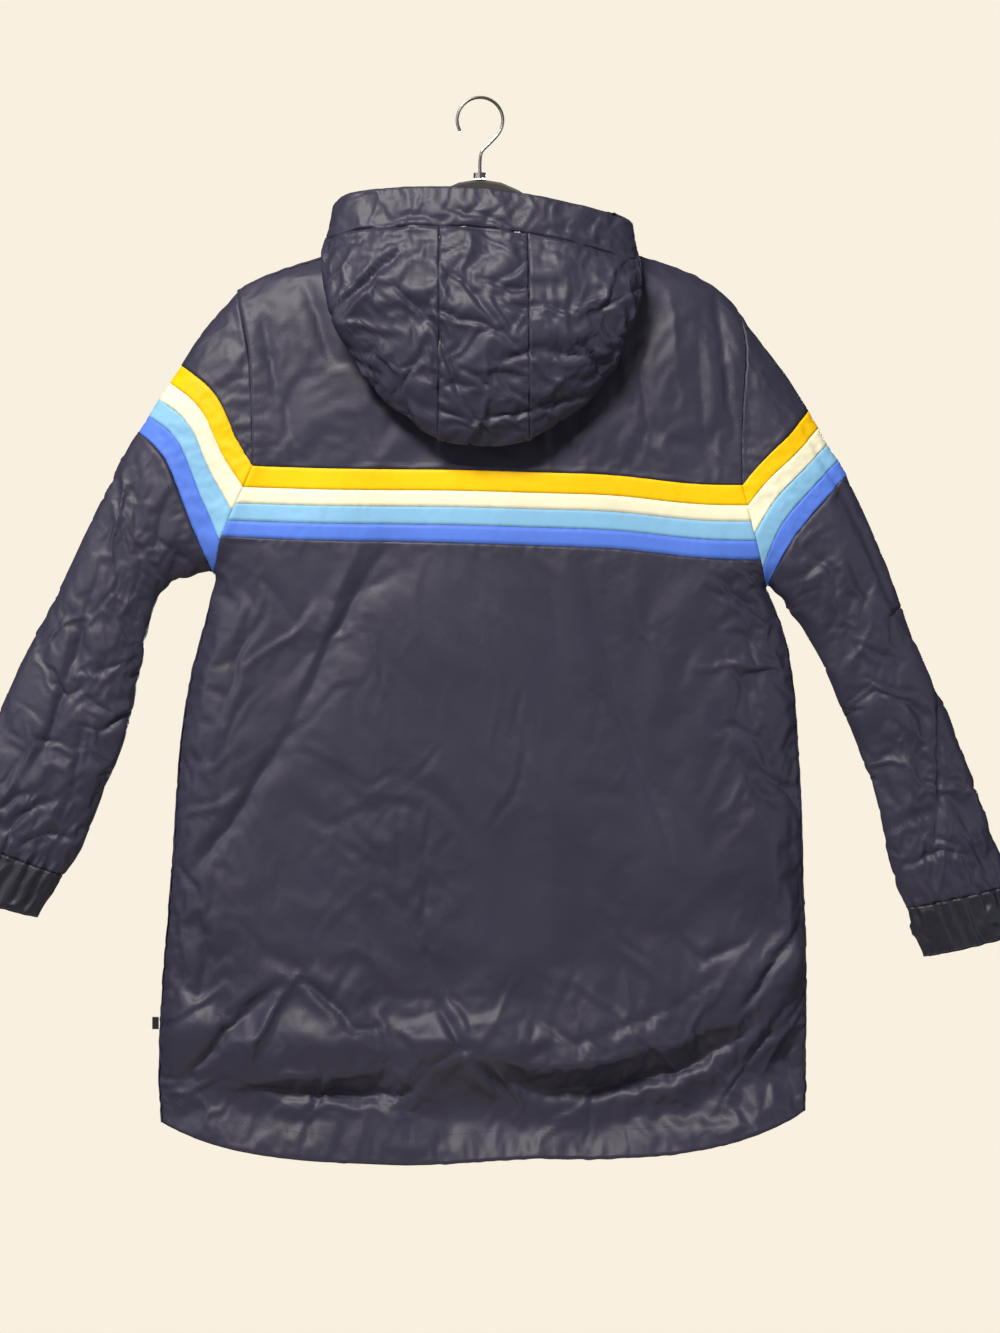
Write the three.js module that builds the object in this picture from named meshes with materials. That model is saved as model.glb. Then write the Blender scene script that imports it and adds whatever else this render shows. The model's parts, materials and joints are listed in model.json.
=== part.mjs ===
// A hooded windbreaker on a slim hanger, in millimetres, +Z up.
// The garment's back faces -Y and its front +Y. The origin is the seat of the hanger's hook.
import * as THREE from 'three';

// Driving dimensions.
const WALL = 1.2;              // cloth wall
const SEAM = 0.3;              // gap between two sewn pieces
const NECK_SEAM = 0.6;         // the same from the middle of the neck edge to the hood
const BAND_SEAM = 0.5;         // the same between the hood and its band, which meet at an angle
const BACK_DEPTH = 26;         // how far the back stands from the garment's middle plane
const FRONT_DEPTH = 22;        // the same for the fronts
const SLEEVE_SHARE = 0.72;     // a sleeve's depth as a share of the body's
const SHOULDER_ROUND = 100;    // distance over which the depth grows below the shoulder line
const SIDE_ROUND = 48;         // the same along the sides and the sleeves
const SLEEVE_FROM = 210;       // the depth shrinks to a sleeve's from here, either side of the middle
const SLEEVE_BLEND = 120;      // and over this width
const FOLD_FADE = 0.6;         // folds fade in over this share of the rounding
const OPEN_TAIL = 60;          // the outline runs on this far past the cuffs and the hem
const ZIP_X = 6;               // the zip's middle line
const ZIP_OPEN = 8;            // width between the two front edges
const FRONT_NECK_Z = -210;     // lowest point of the front neckline
const BACK_NECK_Z = -154;      // lowest point of the back neckline
const FRONT_HEM_Z = -973;      // the fronts' hem at the zip
const GATHER_DEPTH = 2.6;      // gathers above a cuff
const CUFF_RIB = 1.3;          // gathers in the elastic cuff
const CAP_TIP = 0.01;          // share of the cap's edge cut off at each of its thin tips
const HOOK_RADIUS = 21.5;      // middle line of the wire hook
const WIRE_RADIUS = 1.5;
const HANGER_HALF = 3;         // half the thickness of the hanger's body
const HANGER_DROP = 2.4;       // hanger's top edge below the shoulder line
const TIP_DROP = 5.4;          // the same at its rounded tips
const HANGER_REACH = 221;      // from the middle to a tip
const HANGER_HEIGHT = 16;      // height of its body
const HANGER_SLIM = 4;         // how much lower it is at the tips
const HANGER_EDGE = 2.4;       // height of its softened edges
const HANGER_FLAT = 0.8;       // half the width of the flat left between them
const FERRULE = { radius: 6.1, top: -70, height: 5.2 };
const BAND_WIDTH = 38;         // band at the hood's face edge
const HOOD_SHIFT = 4;          // the hood hangs a little off the middle
const HOOD_TILT = -0.09;       // and its rim slopes down to the right
const ZIP_TOP = -213;
const TAPE = { inner: 2.8, outer: 12, thick: 0.8 };
const CHAIN = { half: 2.5, thick: 2 };
const SLIDER = { half: 3.5, top: -217, bottom: -229.2, base: 3.4, ear: 3.2, slot: 1.6, earWidth: 1.4 };
const PULL = { z: -219.5, neck: 1.3, wide: 3.2, thick: 1.3, above: 1.1, neckLength: 12, length: 26 };
const SIDE_TAB = { z: -868.6, height: 11.4, width: 6, thick: 1.6 };

// Shoulder line from the neck to the armhole, then the top of the sleeve cap.
const SHOULDER = {
  left: [
    { x: -87, z: -131.6 }, { x: -126.9, z: -141.0 }, { x: -160.7, z: -151.3 },
    { x: -189.9, z: -160.7 }, { x: -215.3, z: -171.1 }, { x: -228.4, z: -179.5 },
  ],
  right: [
    { x: 91, z: -132.0 }, { x: 133.5, z: -141.9 }, { x: 164.5, z: -151.3 },
    { x: 194.6, z: -160.7 }, { x: 222.0, z: -174.5 }, { x: 242.5, z: -197.4 },
  ],
};
const CAP_TOP = {
  left: [{ x: -254.7, z: -207.7 }, { x: -267.9, z: -226.5 }],
  right: [{ x: 266.0, z: -226.5 }, { x: 290.5, z: -263.2 }],
};

// Armhole from the shoulder to the first stripe.
const ARMHOLE = {
  left: [
    { x: -222.8, z: -205.9 }, { x: -216.2, z: -232.2 }, { x: -213.4, z: -264.1 }, { x: -212.4, z: -306.4 },
  ],
  right: [
    { x: 247.2, z: -215.3 }, { x: 250.0, z: -237.8 }, { x: 247.2, z: -268.8 }, { x: 244.4, z: -311.1 },
  ],
};

// Armhole levels where a stripe's edge meets the seam, down to the armpit.
const LEVELS = {
  left: [
    { x: -211.5, z: -346.9 }, { x: -220.0, z: -366.6 }, { x: -227.5, z: -381.6 },
    { x: -230.8, z: -388.2 }, { x: -235.0, z: -397.6 }, { x: -241.1, z: -412.7 },
    { x: -242.5, z: -416.4 }, { x: -246.3, z: -433.3 }, { x: -249.6, z: -449.3 },
  ],
  right: [
    { x: 244.4, z: -364.7 }, { x: 249.6, z: -383.5 }, { x: 252.9, z: -398.6 },
    { x: 255.7, z: -409.8 }, { x: 257.6, z: -416.4 }, { x: 262.3, z: -434.3 },
    { x: 264.1, z: -441.8 }, { x: 266.5, z: -452.1 }, { x: 268.4, z: -461.5 },
  ],
};
const STRIPES = ['yellow', 'white', 'sky', 'royal'];
const BODY_EDGE = [0, 1, 2, 4, 5];      // armhole level of each stripe edge on the body
const SLEEVE_EDGE = [0, 1, 3, 6, 8];    // and on the sleeve

// Stripe edges on the sleeve, from the armhole to the outer fold.
const BAND = {
  left: [
    { lowX: -229.4, lowZ: -315.8, highX: -245.3, highZ: -280.1, outerX: -282.6, outerZ: -249.1 },
    { lowX: -242.5, lowZ: -332.8, highX: -258.5, highZ: -294.2, outerX: -293.9, outerZ: -265.1 },
    { lowX: -255.7, lowZ: -344.2, highX: -269.8, highZ: -307.5, outerX: -304.3, outerZ: -280.6 },
    { lowX: -267.8, lowZ: -357.3, highX: -282.0, highZ: -320.6, outerX: -314.0, outerZ: -296.1 },
    { lowX: -278.4, lowZ: -378.8, highX: -294.2, highZ: -336.8, outerX: -323.4, outerZ: -311.1 },
  ],
  right: [
    { lowX: 265.1, lowZ: -340.3, highX: 286.7, highZ: -319.5, outerX: 309.3, outerZ: -292.3 },
    { lowX: 269.9, lowZ: -358.0, highX: 294.1, highZ: -336.4, outerX: 318.3, outerZ: -308.3 },
    { lowX: 274.6, lowZ: -377.9, highX: 299.0, highZ: -353.4, outerX: 327.1, outerZ: -323.4 },
    { lowX: 280.4, lowZ: -401.4, highX: 305.7, highZ: -372.1, outerX: 337.2, outerZ: -338.8 },
    { lowX: 288.6, lowZ: -419.2, highX: 313.1, highZ: -388.2, outerX: 345.0, outerZ: -352.5 },
  ],
};

// Sections of the lower sleeve down to the cuff seam, and of the cuff. Each has the point on the outer
// fold and the point on the inner fold. The first section is the last stripe edge.
const SLEEVE = {
  left: [
    { outerX: -338.4, outerZ: -333.7, innerX: -276.4, innerZ: -451.2 },
    { outerX: -355.3, outerZ: -365.7, innerX: -298.9, innerZ: -465.3 },
    { outerX: -374.1, outerZ: -403.3, innerX: -307.4, innerZ: -494.4 },
    { outerX: -392.9, outerZ: -442.7, innerX: -311.1, innerZ: -529.2 },
    { outerX: -411.7, outerZ: -480.3, innerX: -317.7, innerZ: -566.8 },
    { outerX: -429.6, outerZ: -517.9, innerX: -327.1, innerZ: -602.5 },
    { outerX: -446.5, outerZ: -556.5, innerX: -340.3, innerZ: -638.3 },
    { outerX: -463.4, outerZ: -594.1, innerX: -356.3, innerZ: -670.2 },
    { outerX: -477.5, outerZ: -630.7, innerX: -368.5, innerZ: -699.4 },
    { outerX: -486.9, outerZ: -664.6, innerX: -380.7, innerZ: -717.2 },
    { outerX: -490.7, outerZ: -691.8, innerX: -390.1, innerZ: -730.4 },
  ],
  right: [
    { outerX: 358.1, outerZ: -376.0, innerX: 278.5, innerZ: -470.6 },
    { outerX: 375.1, outerZ: -413.8, innerX: 291.4, innerZ: -487.7 },
    { outerX: 392.0, outerZ: -454.8, innerX: 307.4, innerZ: -505.7 },
    { outerX: 406.1, outerZ: -491.6, innerX: 321.5, innerZ: -531.1 },
    { outerX: 422.1, outerZ: -532.0, innerX: 334.6, innerZ: -566.8 },
    { outerX: 439.9, outerZ: -574.3, innerX: 349.7, innerZ: -600.7 },
    { outerX: 457.8, outerZ: -615.7, innerX: 361.9, innerZ: -638.3 },
    { outerX: 472.8, outerZ: -654.2, innerX: 372.2, innerZ: -670.2 },
    { outerX: 484.1, outerZ: -692.8, innerX: 380.7, innerZ: -705.2 },
    { outerX: 491.6, outerZ: -719.1, innerX: 389.2, innerZ: -736.4 },
    { outerX: 497.3, outerZ: -738.8, innerX: 399.5, innerZ: -760.5 },
  ],
};
const CUFF = {
  left: [
    { outerX: -494.5, outerZ: -702.5, innerX: -393.5, innerZ: -738.4 },
    { outerX: -499.1, outerZ: -717.2, innerX: -400.4, innerZ: -750.1 },
    { outerX: -504.8, outerZ: -742.6, innerX: -413.6, innerZ: -769.9 },
  ],
  right: [
    { outerX: 500.5, outerZ: -748.0, innerX: 400.3, innerZ: -770.5 },
    { outerX: 502.9, outerZ: -760.5, innerX: 403.3, innerZ: -784.9 },
    { outerX: 502.0, outerZ: -785.8, innerX: 415.5, innerZ: -806.5 },
  ],
};

// Side of the body from the armpit to the hem, and the back hem from side to side.
const SIDE = {
  left: [
    { x: -257.6, z: -489.7 }, { x: -269.8, z: -527.3 }, { x: -279.2, z: -564.9 }, { x: -284.8, z: -640.1 },
    { x: -289.5, z: -715.3 }, { x: -296.1, z: -790.5 }, { x: -301.7, z: -865.7 }, { x: -303.6, z: -912.7 },
    { x: -299.9, z: -961.6 },
  ],
  right: [
    { x: 285.3, z: -491.7 }, { x: 293.2, z: -512.2 }, { x: 296.1, z: -564.9 }, { x: 302.7, z: -640.1 },
    { x: 303.6, z: -715.3 }, { x: 307.4, z: -790.5 }, { x: 307.4, z: -865.7 }, { x: 306.4, z: -912.7 },
    { x: 306.4, z: -950.3 },
  ],
};
const HEM = [
  { x: -253.8, z: -978.5 }, { x: -178.6, z: -992.6 }, { x: -122.2, z: -995.5 }, { x: -47.0, z: -998.3 },
  { x: 18.8, z: -991.8 }, { x: 84.6, z: -991.7 }, { x: 159.8, z: -990.8 }, { x: 216.2, z: -983.2 },
  { x: 272.6, z: -966.3 },
];
const STRIPE_TOP = [
  { x: -122.2, z: -349.7 }, { x: -28.2, z: -350.6 }, { x: 65.8, z: -353.4 }, { x: 136.3, z: -356.0 },
  { x: 169.2, z: -361.0 }, { x: 197.4, z: -364.2 },
];

// The largest folds. Each is a soft trough (depth below 0) or ridge along a straight run.
const FOLDS = {
  back: [
    { x1: -105, z1: -440, x2: -262, z2: -715, width: 34, depth: -7 },
    { x1: -70, z1: -470, x2: -150, z2: -640, width: 30, depth: 4 },
    { x1: 118, z1: -540, x2: 190, z2: -735, width: 34, depth: -7 },
    { x1: 225, z1: -450, x2: 290, z2: -640, width: 28, depth: -6 },
    { x1: -40, z1: -945, x2: 270, z2: -858, width: 34, depth: -7 },
    { x1: -168, z1: -826, x2: -262, z2: -925, width: 32, depth: -6 },
    { x1: -168, z1: -826, x2: -110, z2: -868, width: 28, depth: 4 },
    { x1: -198, z1: -225, x2: -186, z2: -275, width: 22, depth: -5 },
    { x1: 219, z1: -190, x2: 238, z2: -320, width: 24, depth: -5 },
  ],
  front: [
    { x1: -120, z1: -450, x2: -250, z2: -700, width: 34, depth: -6 },
    { x1: 130, z1: -470, x2: 245, z2: -730, width: 36, depth: -6 },
    { x1: -200, z1: -760, x2: -150, z2: -930, width: 34, depth: 4 },
    { x1: 110, z1: -800, x2: 180, z2: -940, width: 34, depth: -5 },
  ],
};

// The hanging hood, as stations from the middle of the back (0) by the neck point (10) to the zip (20).
// fold: its lowest fold, mid: the middle of its outer face, rim: the face edge. hang: how far the cloth
// goes straight down the back before it folds up again. crest: the height to which it stands up first.
const HOOD = [
  { station: 0, fold: [0, -50, -337], mid: [0, -84, -225], rim: [-2, -64, -95], hang: 1, crest: -140 },
  { station: 2, fold: [42, -50, -330], mid: [41, -83, -222], rim: [40, -63, -97], hang: 1, crest: -138 },
  { station: 4, fold: [82, -48, -309], mid: [79, -79, -215], rim: [76, -59, -100], hang: 1, crest: -134 },
  { station: 6, fold: [117, -44, -273], mid: [112, -70, -203], rim: [106, -50, -104], hang: 1, crest: -130 },
  { station: 8, fold: [140, -38, -222], mid: [137, -57, -187], rim: [128, -41, -108], hang: 1, crest: -126 },
  { station: 10, fold: [147, -30, -178], mid: [148, -40, -165], rim: [139, -29, -114], hang: 0.8, crest: -123 },
  { station: 12, fold: [131, -14, -132], mid: [144, -27, -149], rim: [135, -20, -111], hang: 0, crest: -122 },
  { station: 14, fold: [112, 2, -122], mid: [124, -6, -130], rim: [118, -8, -105], hang: 0, crest: -123 },
  { station: 16, fold: [88, 19, -134], mid: [98, 14, -128], rim: [98, 7, -108], hang: 0, crest: -146 },
  { station: 18, fold: [58, 28, -170], mid: [66, 27, -157], rim: [66, 20, -132], hang: 0, crest: -178 },
  { station: 20, fold: [16, 28, -197], mid: [21, 29, -184], rim: [25, 27, -164], hang: 0, crest: -200 },
];
const NECK_STATION = 10;
// How the hood's outer face is drawn between those rows. The bend over the neck edge stands off it, the inner
// wall hangs clear of the back, and the face swells out just above the lowest fold.
const HOOD_BEND = {
  off: 3, up: 2.5, backShare: 0.06, backOut: 9, backUp: 6, frontShare: 0.08, crestShare: 0.8,
  insideClear: 9, insideRise: 0.4, lowShare: 0.27, lowOut: 9,
};
const HOOD_COLUMNS = [0, 1, 2, 3, 4, 5, 6, 7, 8, 9, 10, 11, 12, 14, 16, 18, 20];
const HOOD_PANEL_STATION = 2;           // the centre panel's seams
const HOOD_CLEAR = 3;                   // the hood's way off the shoulders
const HOOD_ROWS = [0, 1, 1.5, 2, 2.7, 3.4, 4, 4.5, 5, 5.5, 6, 6.5, 7];
const BAND_ROWS = [7, 7.5, 8];
const HOOD_FOLDS = [
  { x1: -40, z1: -160, x2: 40, z2: -250, width: 22, depth: -7 },
  { x1: -60, z1: -160, x2: -135, z2: -215, width: 18, depth: -6 },
  { x1: 85, z1: -232, x2: 135, z2: -190, width: 18, depth: -5 },
];

// The arch of the hanger's top edge from its middle to the neck.
const ARCH = [
  { x: 0, z: -75.5 }, { x: 20, z: -78.8 }, { x: 36, z: -85.8 }, { x: 48, z: -93.5 }, { x: 60, z: -104 },
  { x: 71, z: -117 }, { x: 80, z: -127.5 },
];

// The hook's wire above the ferrule, and the angles in degrees between which it goes round.
const HOOK_RISE = [{ x: 0, z: -60 }, { x: 1.5, z: -50 }, { x: 9, z: -42 }];
const HOOK_BEND = { from: -35, to: 210 };
const FERRULE_SIDES = 16;

// Column and row spacing, shared by the pieces on both sides of a seam.
const ARM_STEPS = [0, 0.10, 0.24, 0.40, 0.57, 0.73, 0.86, 0.96, 1];   // up the armhole
const SHOULDER_STEPS = [0, 0.10, 0.30, 0.52, 0.76, 1];                // from the armhole to the neck
const NECK_STEPS = [0.07, 0.25, 0.5, 0.75, 1];                        // from the neck point down
const SIDE_STEPS = [0.07, 0.17, 0.29, 0.42, 0.55, 0.68, 0.80, 0.91, 1];

const COLOURS = {
  navy: 0x3d3a40, yellow: 0xf2d80c, white: 0xf1efe0, sky: 0x8ac4e6, royal: 0x4a78d8,
  zip: 0x232326, metal: 0xb9bbbe, velvet: 0x2b2725,
};

// Plane curves. Every curve below lies in the XZ plane, and its depth is added later.
const at = (x, z) => new THREE.Vector3(x, 0, z);
const mix = (a, b, t) => a.clone().lerp(b, t);
const clamp01 = (t) => Math.min(1, Math.max(0, t));
const ease = (t) => clamp01(t) * clamp01(t) * (3 - 2 * clamp01(t));

function smooth(rows) {
  const curve = new THREE.CatmullRomCurve3(rows.map((row) => at(row.x, row.z)), false, 'centripetal');
  curve.arcLengthDivisions = 400;
  return (t) => curve.getPointAt(clamp01(t));
}

const outerOf = (row) => ({ x: row.outerX, z: row.outerZ });
const innerOf = (row) => ({ x: row.innerX, z: row.innerZ });

function sideCurves(side) {
  const shoulder = SHOULDER[side];
  const levels = LEVELS[side];
  const seamTop = shoulder[shoulder.length - 1];
  const armpit = levels[levels.length - 1];
  const edges = BAND[side];
  const capEnd = outerOf(edges[0]);
  const outerRows = [...edges.map(outerOf), ...SLEEVE[side].map(outerOf), ...CUFF[side].map(outerOf)];
  const innerRows = [armpit, ...SLEEVE[side].map(innerOf), ...CUFF[side].map(innerOf)];
  return {
    shoulder: smooth([...shoulder].reverse()),
    capTop: smooth([seamTop, ...CAP_TOP[side], capEnd]),
    armhole: smooth([levels[0], ...[...ARMHOLE[side]].reverse(), seamTop]),
    bands: edges.map((edge, k) => smooth([
      levels[SLEEVE_EDGE[k]], { x: edge.lowX, z: edge.lowZ }, { x: edge.highX, z: edge.highZ }, outerOf(edge),
    ])),
    body: smooth([armpit, ...SIDE[side]]),
    outline: {
      upper: [...shoulder, ...CAP_TOP[side], capEnd],
      outer: outerRows,
      inner: innerRows,
      body: [armpit, ...SIDE[side]],
    },
  };
}
const CURVES = { left: sideCurves('left'), right: sideCurves('right') };

// The garment's outline as short segments, each with the rounding distance of its stretch.
const OUTLINE = [];
function addOutline(rows, turn, radiusAt) {
  const curve = smooth(rows);
  const steps = 8 * rows.length;
  const before = curve(1 - 1 / steps);
  for (let i = 0; i < steps; i += 1) {
    const from = curve(i / steps);
    const to = curve((i + 1) / steps);
    OUTLINE.push({ from, to, turn, radius: radiusAt(i / steps) });
  }
  const tail = mix(before, curve(1), 1 + OPEN_TAIL / curve(1).distanceTo(before));
  return { from: curve(1), to: tail, turn, radius: SIDE_ROUND };
}
for (const side of ['left', 'right']) {
  const turn = side === 'left' ? 1 : -1;
  const { upper, outer, inner, body } = CURVES[side].outline;
  const shrink = (t) => SHOULDER_ROUND + (SIDE_ROUND - SHOULDER_ROUND) * ease((t - 0.5) / 0.5);
  addOutline(upper, turn, shrink);
  OUTLINE.push(addOutline(outer, turn, () => SIDE_ROUND));
  OUTLINE.push(addOutline(inner, -turn, () => SIDE_ROUND));
  OUTLINE.push(addOutline(body, turn, () => SIDE_ROUND));
}

// How far a point of the plane lies inside the outline, as a share of the rounding distance.
function inset(x, z) {
  let best = { share: Infinity, radius: 1, inX: 0, inZ: 0 };
  for (const { from, to, turn, radius } of OUTLINE) {
    const dx = to.x - from.x;
    const dz = to.z - from.z;
    const length = Math.hypot(dx, dz);
    const t = clamp01(((x - from.x) * dx + (z - from.z) * dz) / (length * length));
    const offX = x - from.x - t * dx;
    const offZ = z - from.z - t * dz;
    const distance = Math.hypot(offX, offZ);
    if (distance / radius >= best.share) continue;
    const clear = distance > 0.2;
    best = {
      share: distance / radius,
      radius,
      inX: clear ? offX / distance : (-turn * dz) / length,
      inZ: clear ? offZ / distance : (turn * dx) / length,
    };
  }
  return best;
}

function foldAt(x, z, face) {
  let total = 0;
  for (const { x1, z1, x2, z2, width, depth } of FOLDS[face]) {
    const dx = x2 - x1;
    const dz = z2 - z1;
    const along = ((x - x1) * dx + (z - z1) * dz) / (dx * dx + dz * dz);
    const t = clamp01(along);
    const away = Math.hypot(x - x1 - t * dx, z - z1 - t * dz) / width;
    total += depth * Math.exp(-away * away) * (0.55 + 0.45 * Math.sin(Math.PI * t));
  }
  return total;
}

const FACE_SIGN = { back: -1, front: 1 };

// Depth of the cloth's outer face over the plane, and the direction out of it.
function surface(x, z, face, onFold) {
  const sign = FACE_SIGN[face];
  const { share, radius, inX, inZ } = inset(x, z);
  if (onFold) return { y: 0, normal: new THREE.Vector3(-inX, 0, -inZ).normalize() };
  const full = face === 'back' ? BACK_DEPTH : FRONT_DEPTH;
  const depth = full * (1 - (1 - SLEEVE_SHARE) * ease((Math.abs(x) - SLEEVE_FROM) / SLEEVE_BLEND));
  const q = Math.min(1, Math.max(0.0005, share));
  const rise = Math.sqrt(1 - (1 - q) * (1 - q));
  const slope = q < 1 ? (depth * (1 - q)) / (rise * radius) : 0;
  const show = ease(q / FOLD_FADE);
  const step = 2;
  const foldX = (foldAt(x + step, z, face) - foldAt(x - step, z, face)) / (2 * step);
  const foldZ = (foldAt(x, z + step, face) - foldAt(x, z - step, face)) / (2 * step);
  const height = depth * rise + show * foldAt(x, z, face);
  const normal = new THREE.Vector3(-slope * inX - show * foldX, sign, -slope * inZ - show * foldZ);
  return { y: sign * Math.max(height, SEAM / 2), normal: normal.normalize() };
}

// A node of a cloth grid: its point on the outer face and its point on the inner face.
function clothNode(point, face, options = {}) {
  const { onFold = false, seamFold = false, out = 0, outward = null } = options;
  const { y, normal } = surface(point.x, point.z, face, onFold || seamFold);
  if (outward) normal.copy(outward);
  const depth = seamFold ? (FACE_SIGN[face] * SEAM) / 2 : y;
  const outer = new THREE.Vector3(point.x, depth, point.z).addScaledVector(normal, out);
  return { outer, inner: outer.clone().addScaledVector(normal, -WALL) };
}

// A closed wall over a grid of nodes. A ring's rows close on themselves, and a row may have twice as many
// nodes as the one before it.
function wall(rows, ring = false) {
  const positions = [];
  const index = [];
  const starts = [];
  let count = 0;
  for (const row of rows) {
    starts.push(count);
    count += row.length;
  }
  for (const row of rows) for (const node of row) positions.push(...node.outer.toArray());
  for (const row of rows) for (const node of row) positions.push(...node.inner.toArray());
  const tri = (a, b, c) => {
    index.push(a, b, c);
    index.push(a + count, c + count, b + count);
  };
  const side = (a, b) => index.push(a, a + count, b, b, a + count, b + count);
  for (let j = 0; j + 1 < rows.length; j += 1) {
    const size = rows[j].length;
    const ratio = ring ? rows[j + 1].length / size : 1;
    const cells = ring ? size : size - 1;
    const above = (i) => starts[j] + (i % size);
    const below = (i) => starts[j + 1] + (i % rows[j + 1].length);
    for (let i = 0; i < cells; i += 1) {
      if (ratio === 2) {
        tri(above(i), below(2 * i), below(2 * i + 1));
        tri(above(i), below(2 * i + 1), above(i + 1));
        tri(above(i + 1), below(2 * i + 1), below(2 * i + 2));
      } else if ((i + j) % 2) {
        tri(above(i), below(i), above(i + 1));
        tri(above(i + 1), below(i), below(i + 1));
      } else {
        tri(above(i), below(i), below(i + 1));
        tri(above(i), below(i + 1), above(i + 1));
      }
    }
    if (!ring) {
      side(above(0), below(0));
      side(below(size - 1), above(size - 1));
    }
  }
  const last = rows.length - 1;
  const edge = (start, size, turned) => {
    const cells = ring ? size : size - 1;
    for (let i = 0; i < cells; i += 1) {
      const a = start + i;
      const b = start + ((i + 1) % size);
      if (turned) side(b, a);
      else side(a, b);
    }
  };
  edge(starts[0], rows[0].length, true);
  edge(starts[last], rows[last].length, false);
  return facingOut(positions, index);
}

function facingOut(positions, index) {
  const geometry = new THREE.BufferGeometry();
  geometry.setAttribute('position', new THREE.Float32BufferAttribute(positions, 3));
  const point = (i) => new THREE.Vector3().fromArray(positions, 3 * i);
  let volume = 0;
  for (let i = 0; i < index.length; i += 3) {
    volume += point(index[i]).dot(point(index[i + 1]).cross(point(index[i + 2])));
  }
  geometry.setIndex(volume > 0 ? index : [...index].reverse());
  geometry.computeVertexNormals();
  return geometry;
}

// A patch between four curves, each a function from 0 to 1.
function patch({ top, bottom, left, right }) {
  return (u, v) => {
    const point = mix(top(u), bottom(u), v).add(mix(left(v), right(v), u));
    return point.sub(mix(mix(top(0), top(1), u), mix(bottom(0), bottom(1), u), v));
  };
}

// The part of a step that is square to an edge, made as long as half a seam.
function squareTo(edgeFrom, edgeTo, step, length = SEAM / 2) {
  const along = edgeTo.clone().sub(edgeFrom).normalize();
  const across = step.clone().addScaledVector(along, -step.dot(along));
  return across.setLength(length);
}

// The grid of a sewn patch: half a seam is trimmed from each side that is sewn.
function sewn(map, us, vs, nodeAt, sides = {}) {
  const { top = true, bottom = true, left = true, right = true } = sides;
  const lastU = us.length - 1;
  const lastV = vs.length - 1;
  const point = (i, j) => map(us[Math.min(lastU, Math.max(0, i))], vs[Math.min(lastV, Math.max(0, j))]);
  return vs.map((v, j) => us.map((u, i) => {
    const here = point(i, j);
    const moved = here.clone();
    const nextI = i === 0 ? 1 : lastU - 1;
    const nextJ = j === 0 ? 1 : lastV - 1;
    if ((i === 0 && left) || (i === lastU && right)) {
      moved.add(squareTo(point(i, j - 1), point(i, j + 1), point(nextI, j).sub(here)));
    }
    if ((j === 0 && top) || (j === lastV && bottom)) {
      moved.add(squareTo(point(i - 1, j), point(i + 1, j), point(i, nextJ).sub(here)));
    }
    return nodeAt(moved, i, j);
  }));
}

const group = new THREE.Group();
function add(name, geometry, colour, metalness = 0) {
  const material = new THREE.MeshStandardMaterial({ color: COLOURS[colour], roughness: 0.7, metalness });
  const mesh = new THREE.Mesh(geometry, material);
  mesh.name = name;
  group.add(mesh);
  return mesh;
}

// Necklines, from the left neck point to the right one on the back, and to the zip on each front.
const neckPoint = (side) => CURVES[side].shoulder(1);
function backNeck(side, t) {
  const start = neckPoint(side);
  const low = at(2, BACK_NECK_Z);
  const angle = (Math.PI / 2) * t;
  return at(low.x + (start.x - low.x) * Math.cos(angle), start.z + (low.z - start.z) * Math.sin(angle));
}
const frontEdge = (side) => ZIP_X + (side === 'left' ? -1 : 1) * (ZIP_OPEN / 2);
function frontNeck(side, t) {
  const start = neckPoint(side);
  const low = at(frontEdge(side), FRONT_NECK_Z);
  const angle = (Math.PI / 2) * t;
  return at(low.x + (start.x - low.x) * Math.cos(angle), start.z + (low.z - start.z) * Math.sin(angle));
}

// A chain of points with even numbers of steps, used as a curve by its step number.
const stepped = (points) => (t) => {
  const place = clamp01(t) * (points.length - 1);
  const i = Math.min(points.length - 2, Math.floor(place));
  return mix(points[i], points[i + 1], place - i);
};
const steps = (count) => Array.from({ length: count + 1 }, (_, i) => i / count);

// The top edge of the upper back and of a front: shoulder first, then the neckline.
function shoulderPoints(side) {
  return SHOULDER_STEPS.map((t) => CURVES[side].shoulder(t));
}
function backTop() {
  const left = [...shoulderPoints('left'), ...NECK_STEPS.map((t) => backNeck('left', t))];
  const right = [...shoulderPoints('right'), ...NECK_STEPS.map((t) => backNeck('right', t))];
  return [...left, ...right.reverse().slice(1)];
}
function frontTop(side) {
  return [...shoulderPoints(side), ...NECK_STEPS.map((t) => frontNeck(side, t))];
}
const armLine = (side) => (v) => CURVES[side].armhole(1 - v);
const armRows = ARM_STEPS.map((t) => 1 - t).reverse();

// A stripe's edge across the body, spread over the columns of the top edge.
function stripeEdge(k, columns) {
  const from = LEVELS.left[BODY_EDGE[k]];
  const to = LEVELS.right[BODY_EDGE[k]];
  const base = smooth([LEVELS.left[0], ...STRIPE_TOP, LEVELS.right[0]]);
  const share = (x) => (x - from.x) / (to.x - from.x);
  const dropLeft = from.z - LEVELS.left[0].z;
  const dropRight = to.z - LEVELS.right[0].z;
  return columns.map((x) => {
    const t = share(x);
    return at(x, base(t).z + dropLeft + (dropRight - dropLeft) * t);
  });
}
function bodyColumns(k) {
  const from = LEVELS.left[BODY_EDGE[k]].x;
  const to = LEVELS.right[BODY_EDGE[k]].x;
  const top = backTop();
  const lower = top.map((point) => (point.x - top[0].x) / (top[top.length - 1].x - top[0].x));
  return lower.map((t) => from + (to - from) * t);
}
function frontColumns(side, k) {
  const from = LEVELS[side][BODY_EDGE[k]].x;
  const to = frontEdge(side);
  const top = frontTop(side);
  return top.map((point) => from + ((to - from) * (point.x - top[0].x)) / (to - top[0].x));
}

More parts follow.
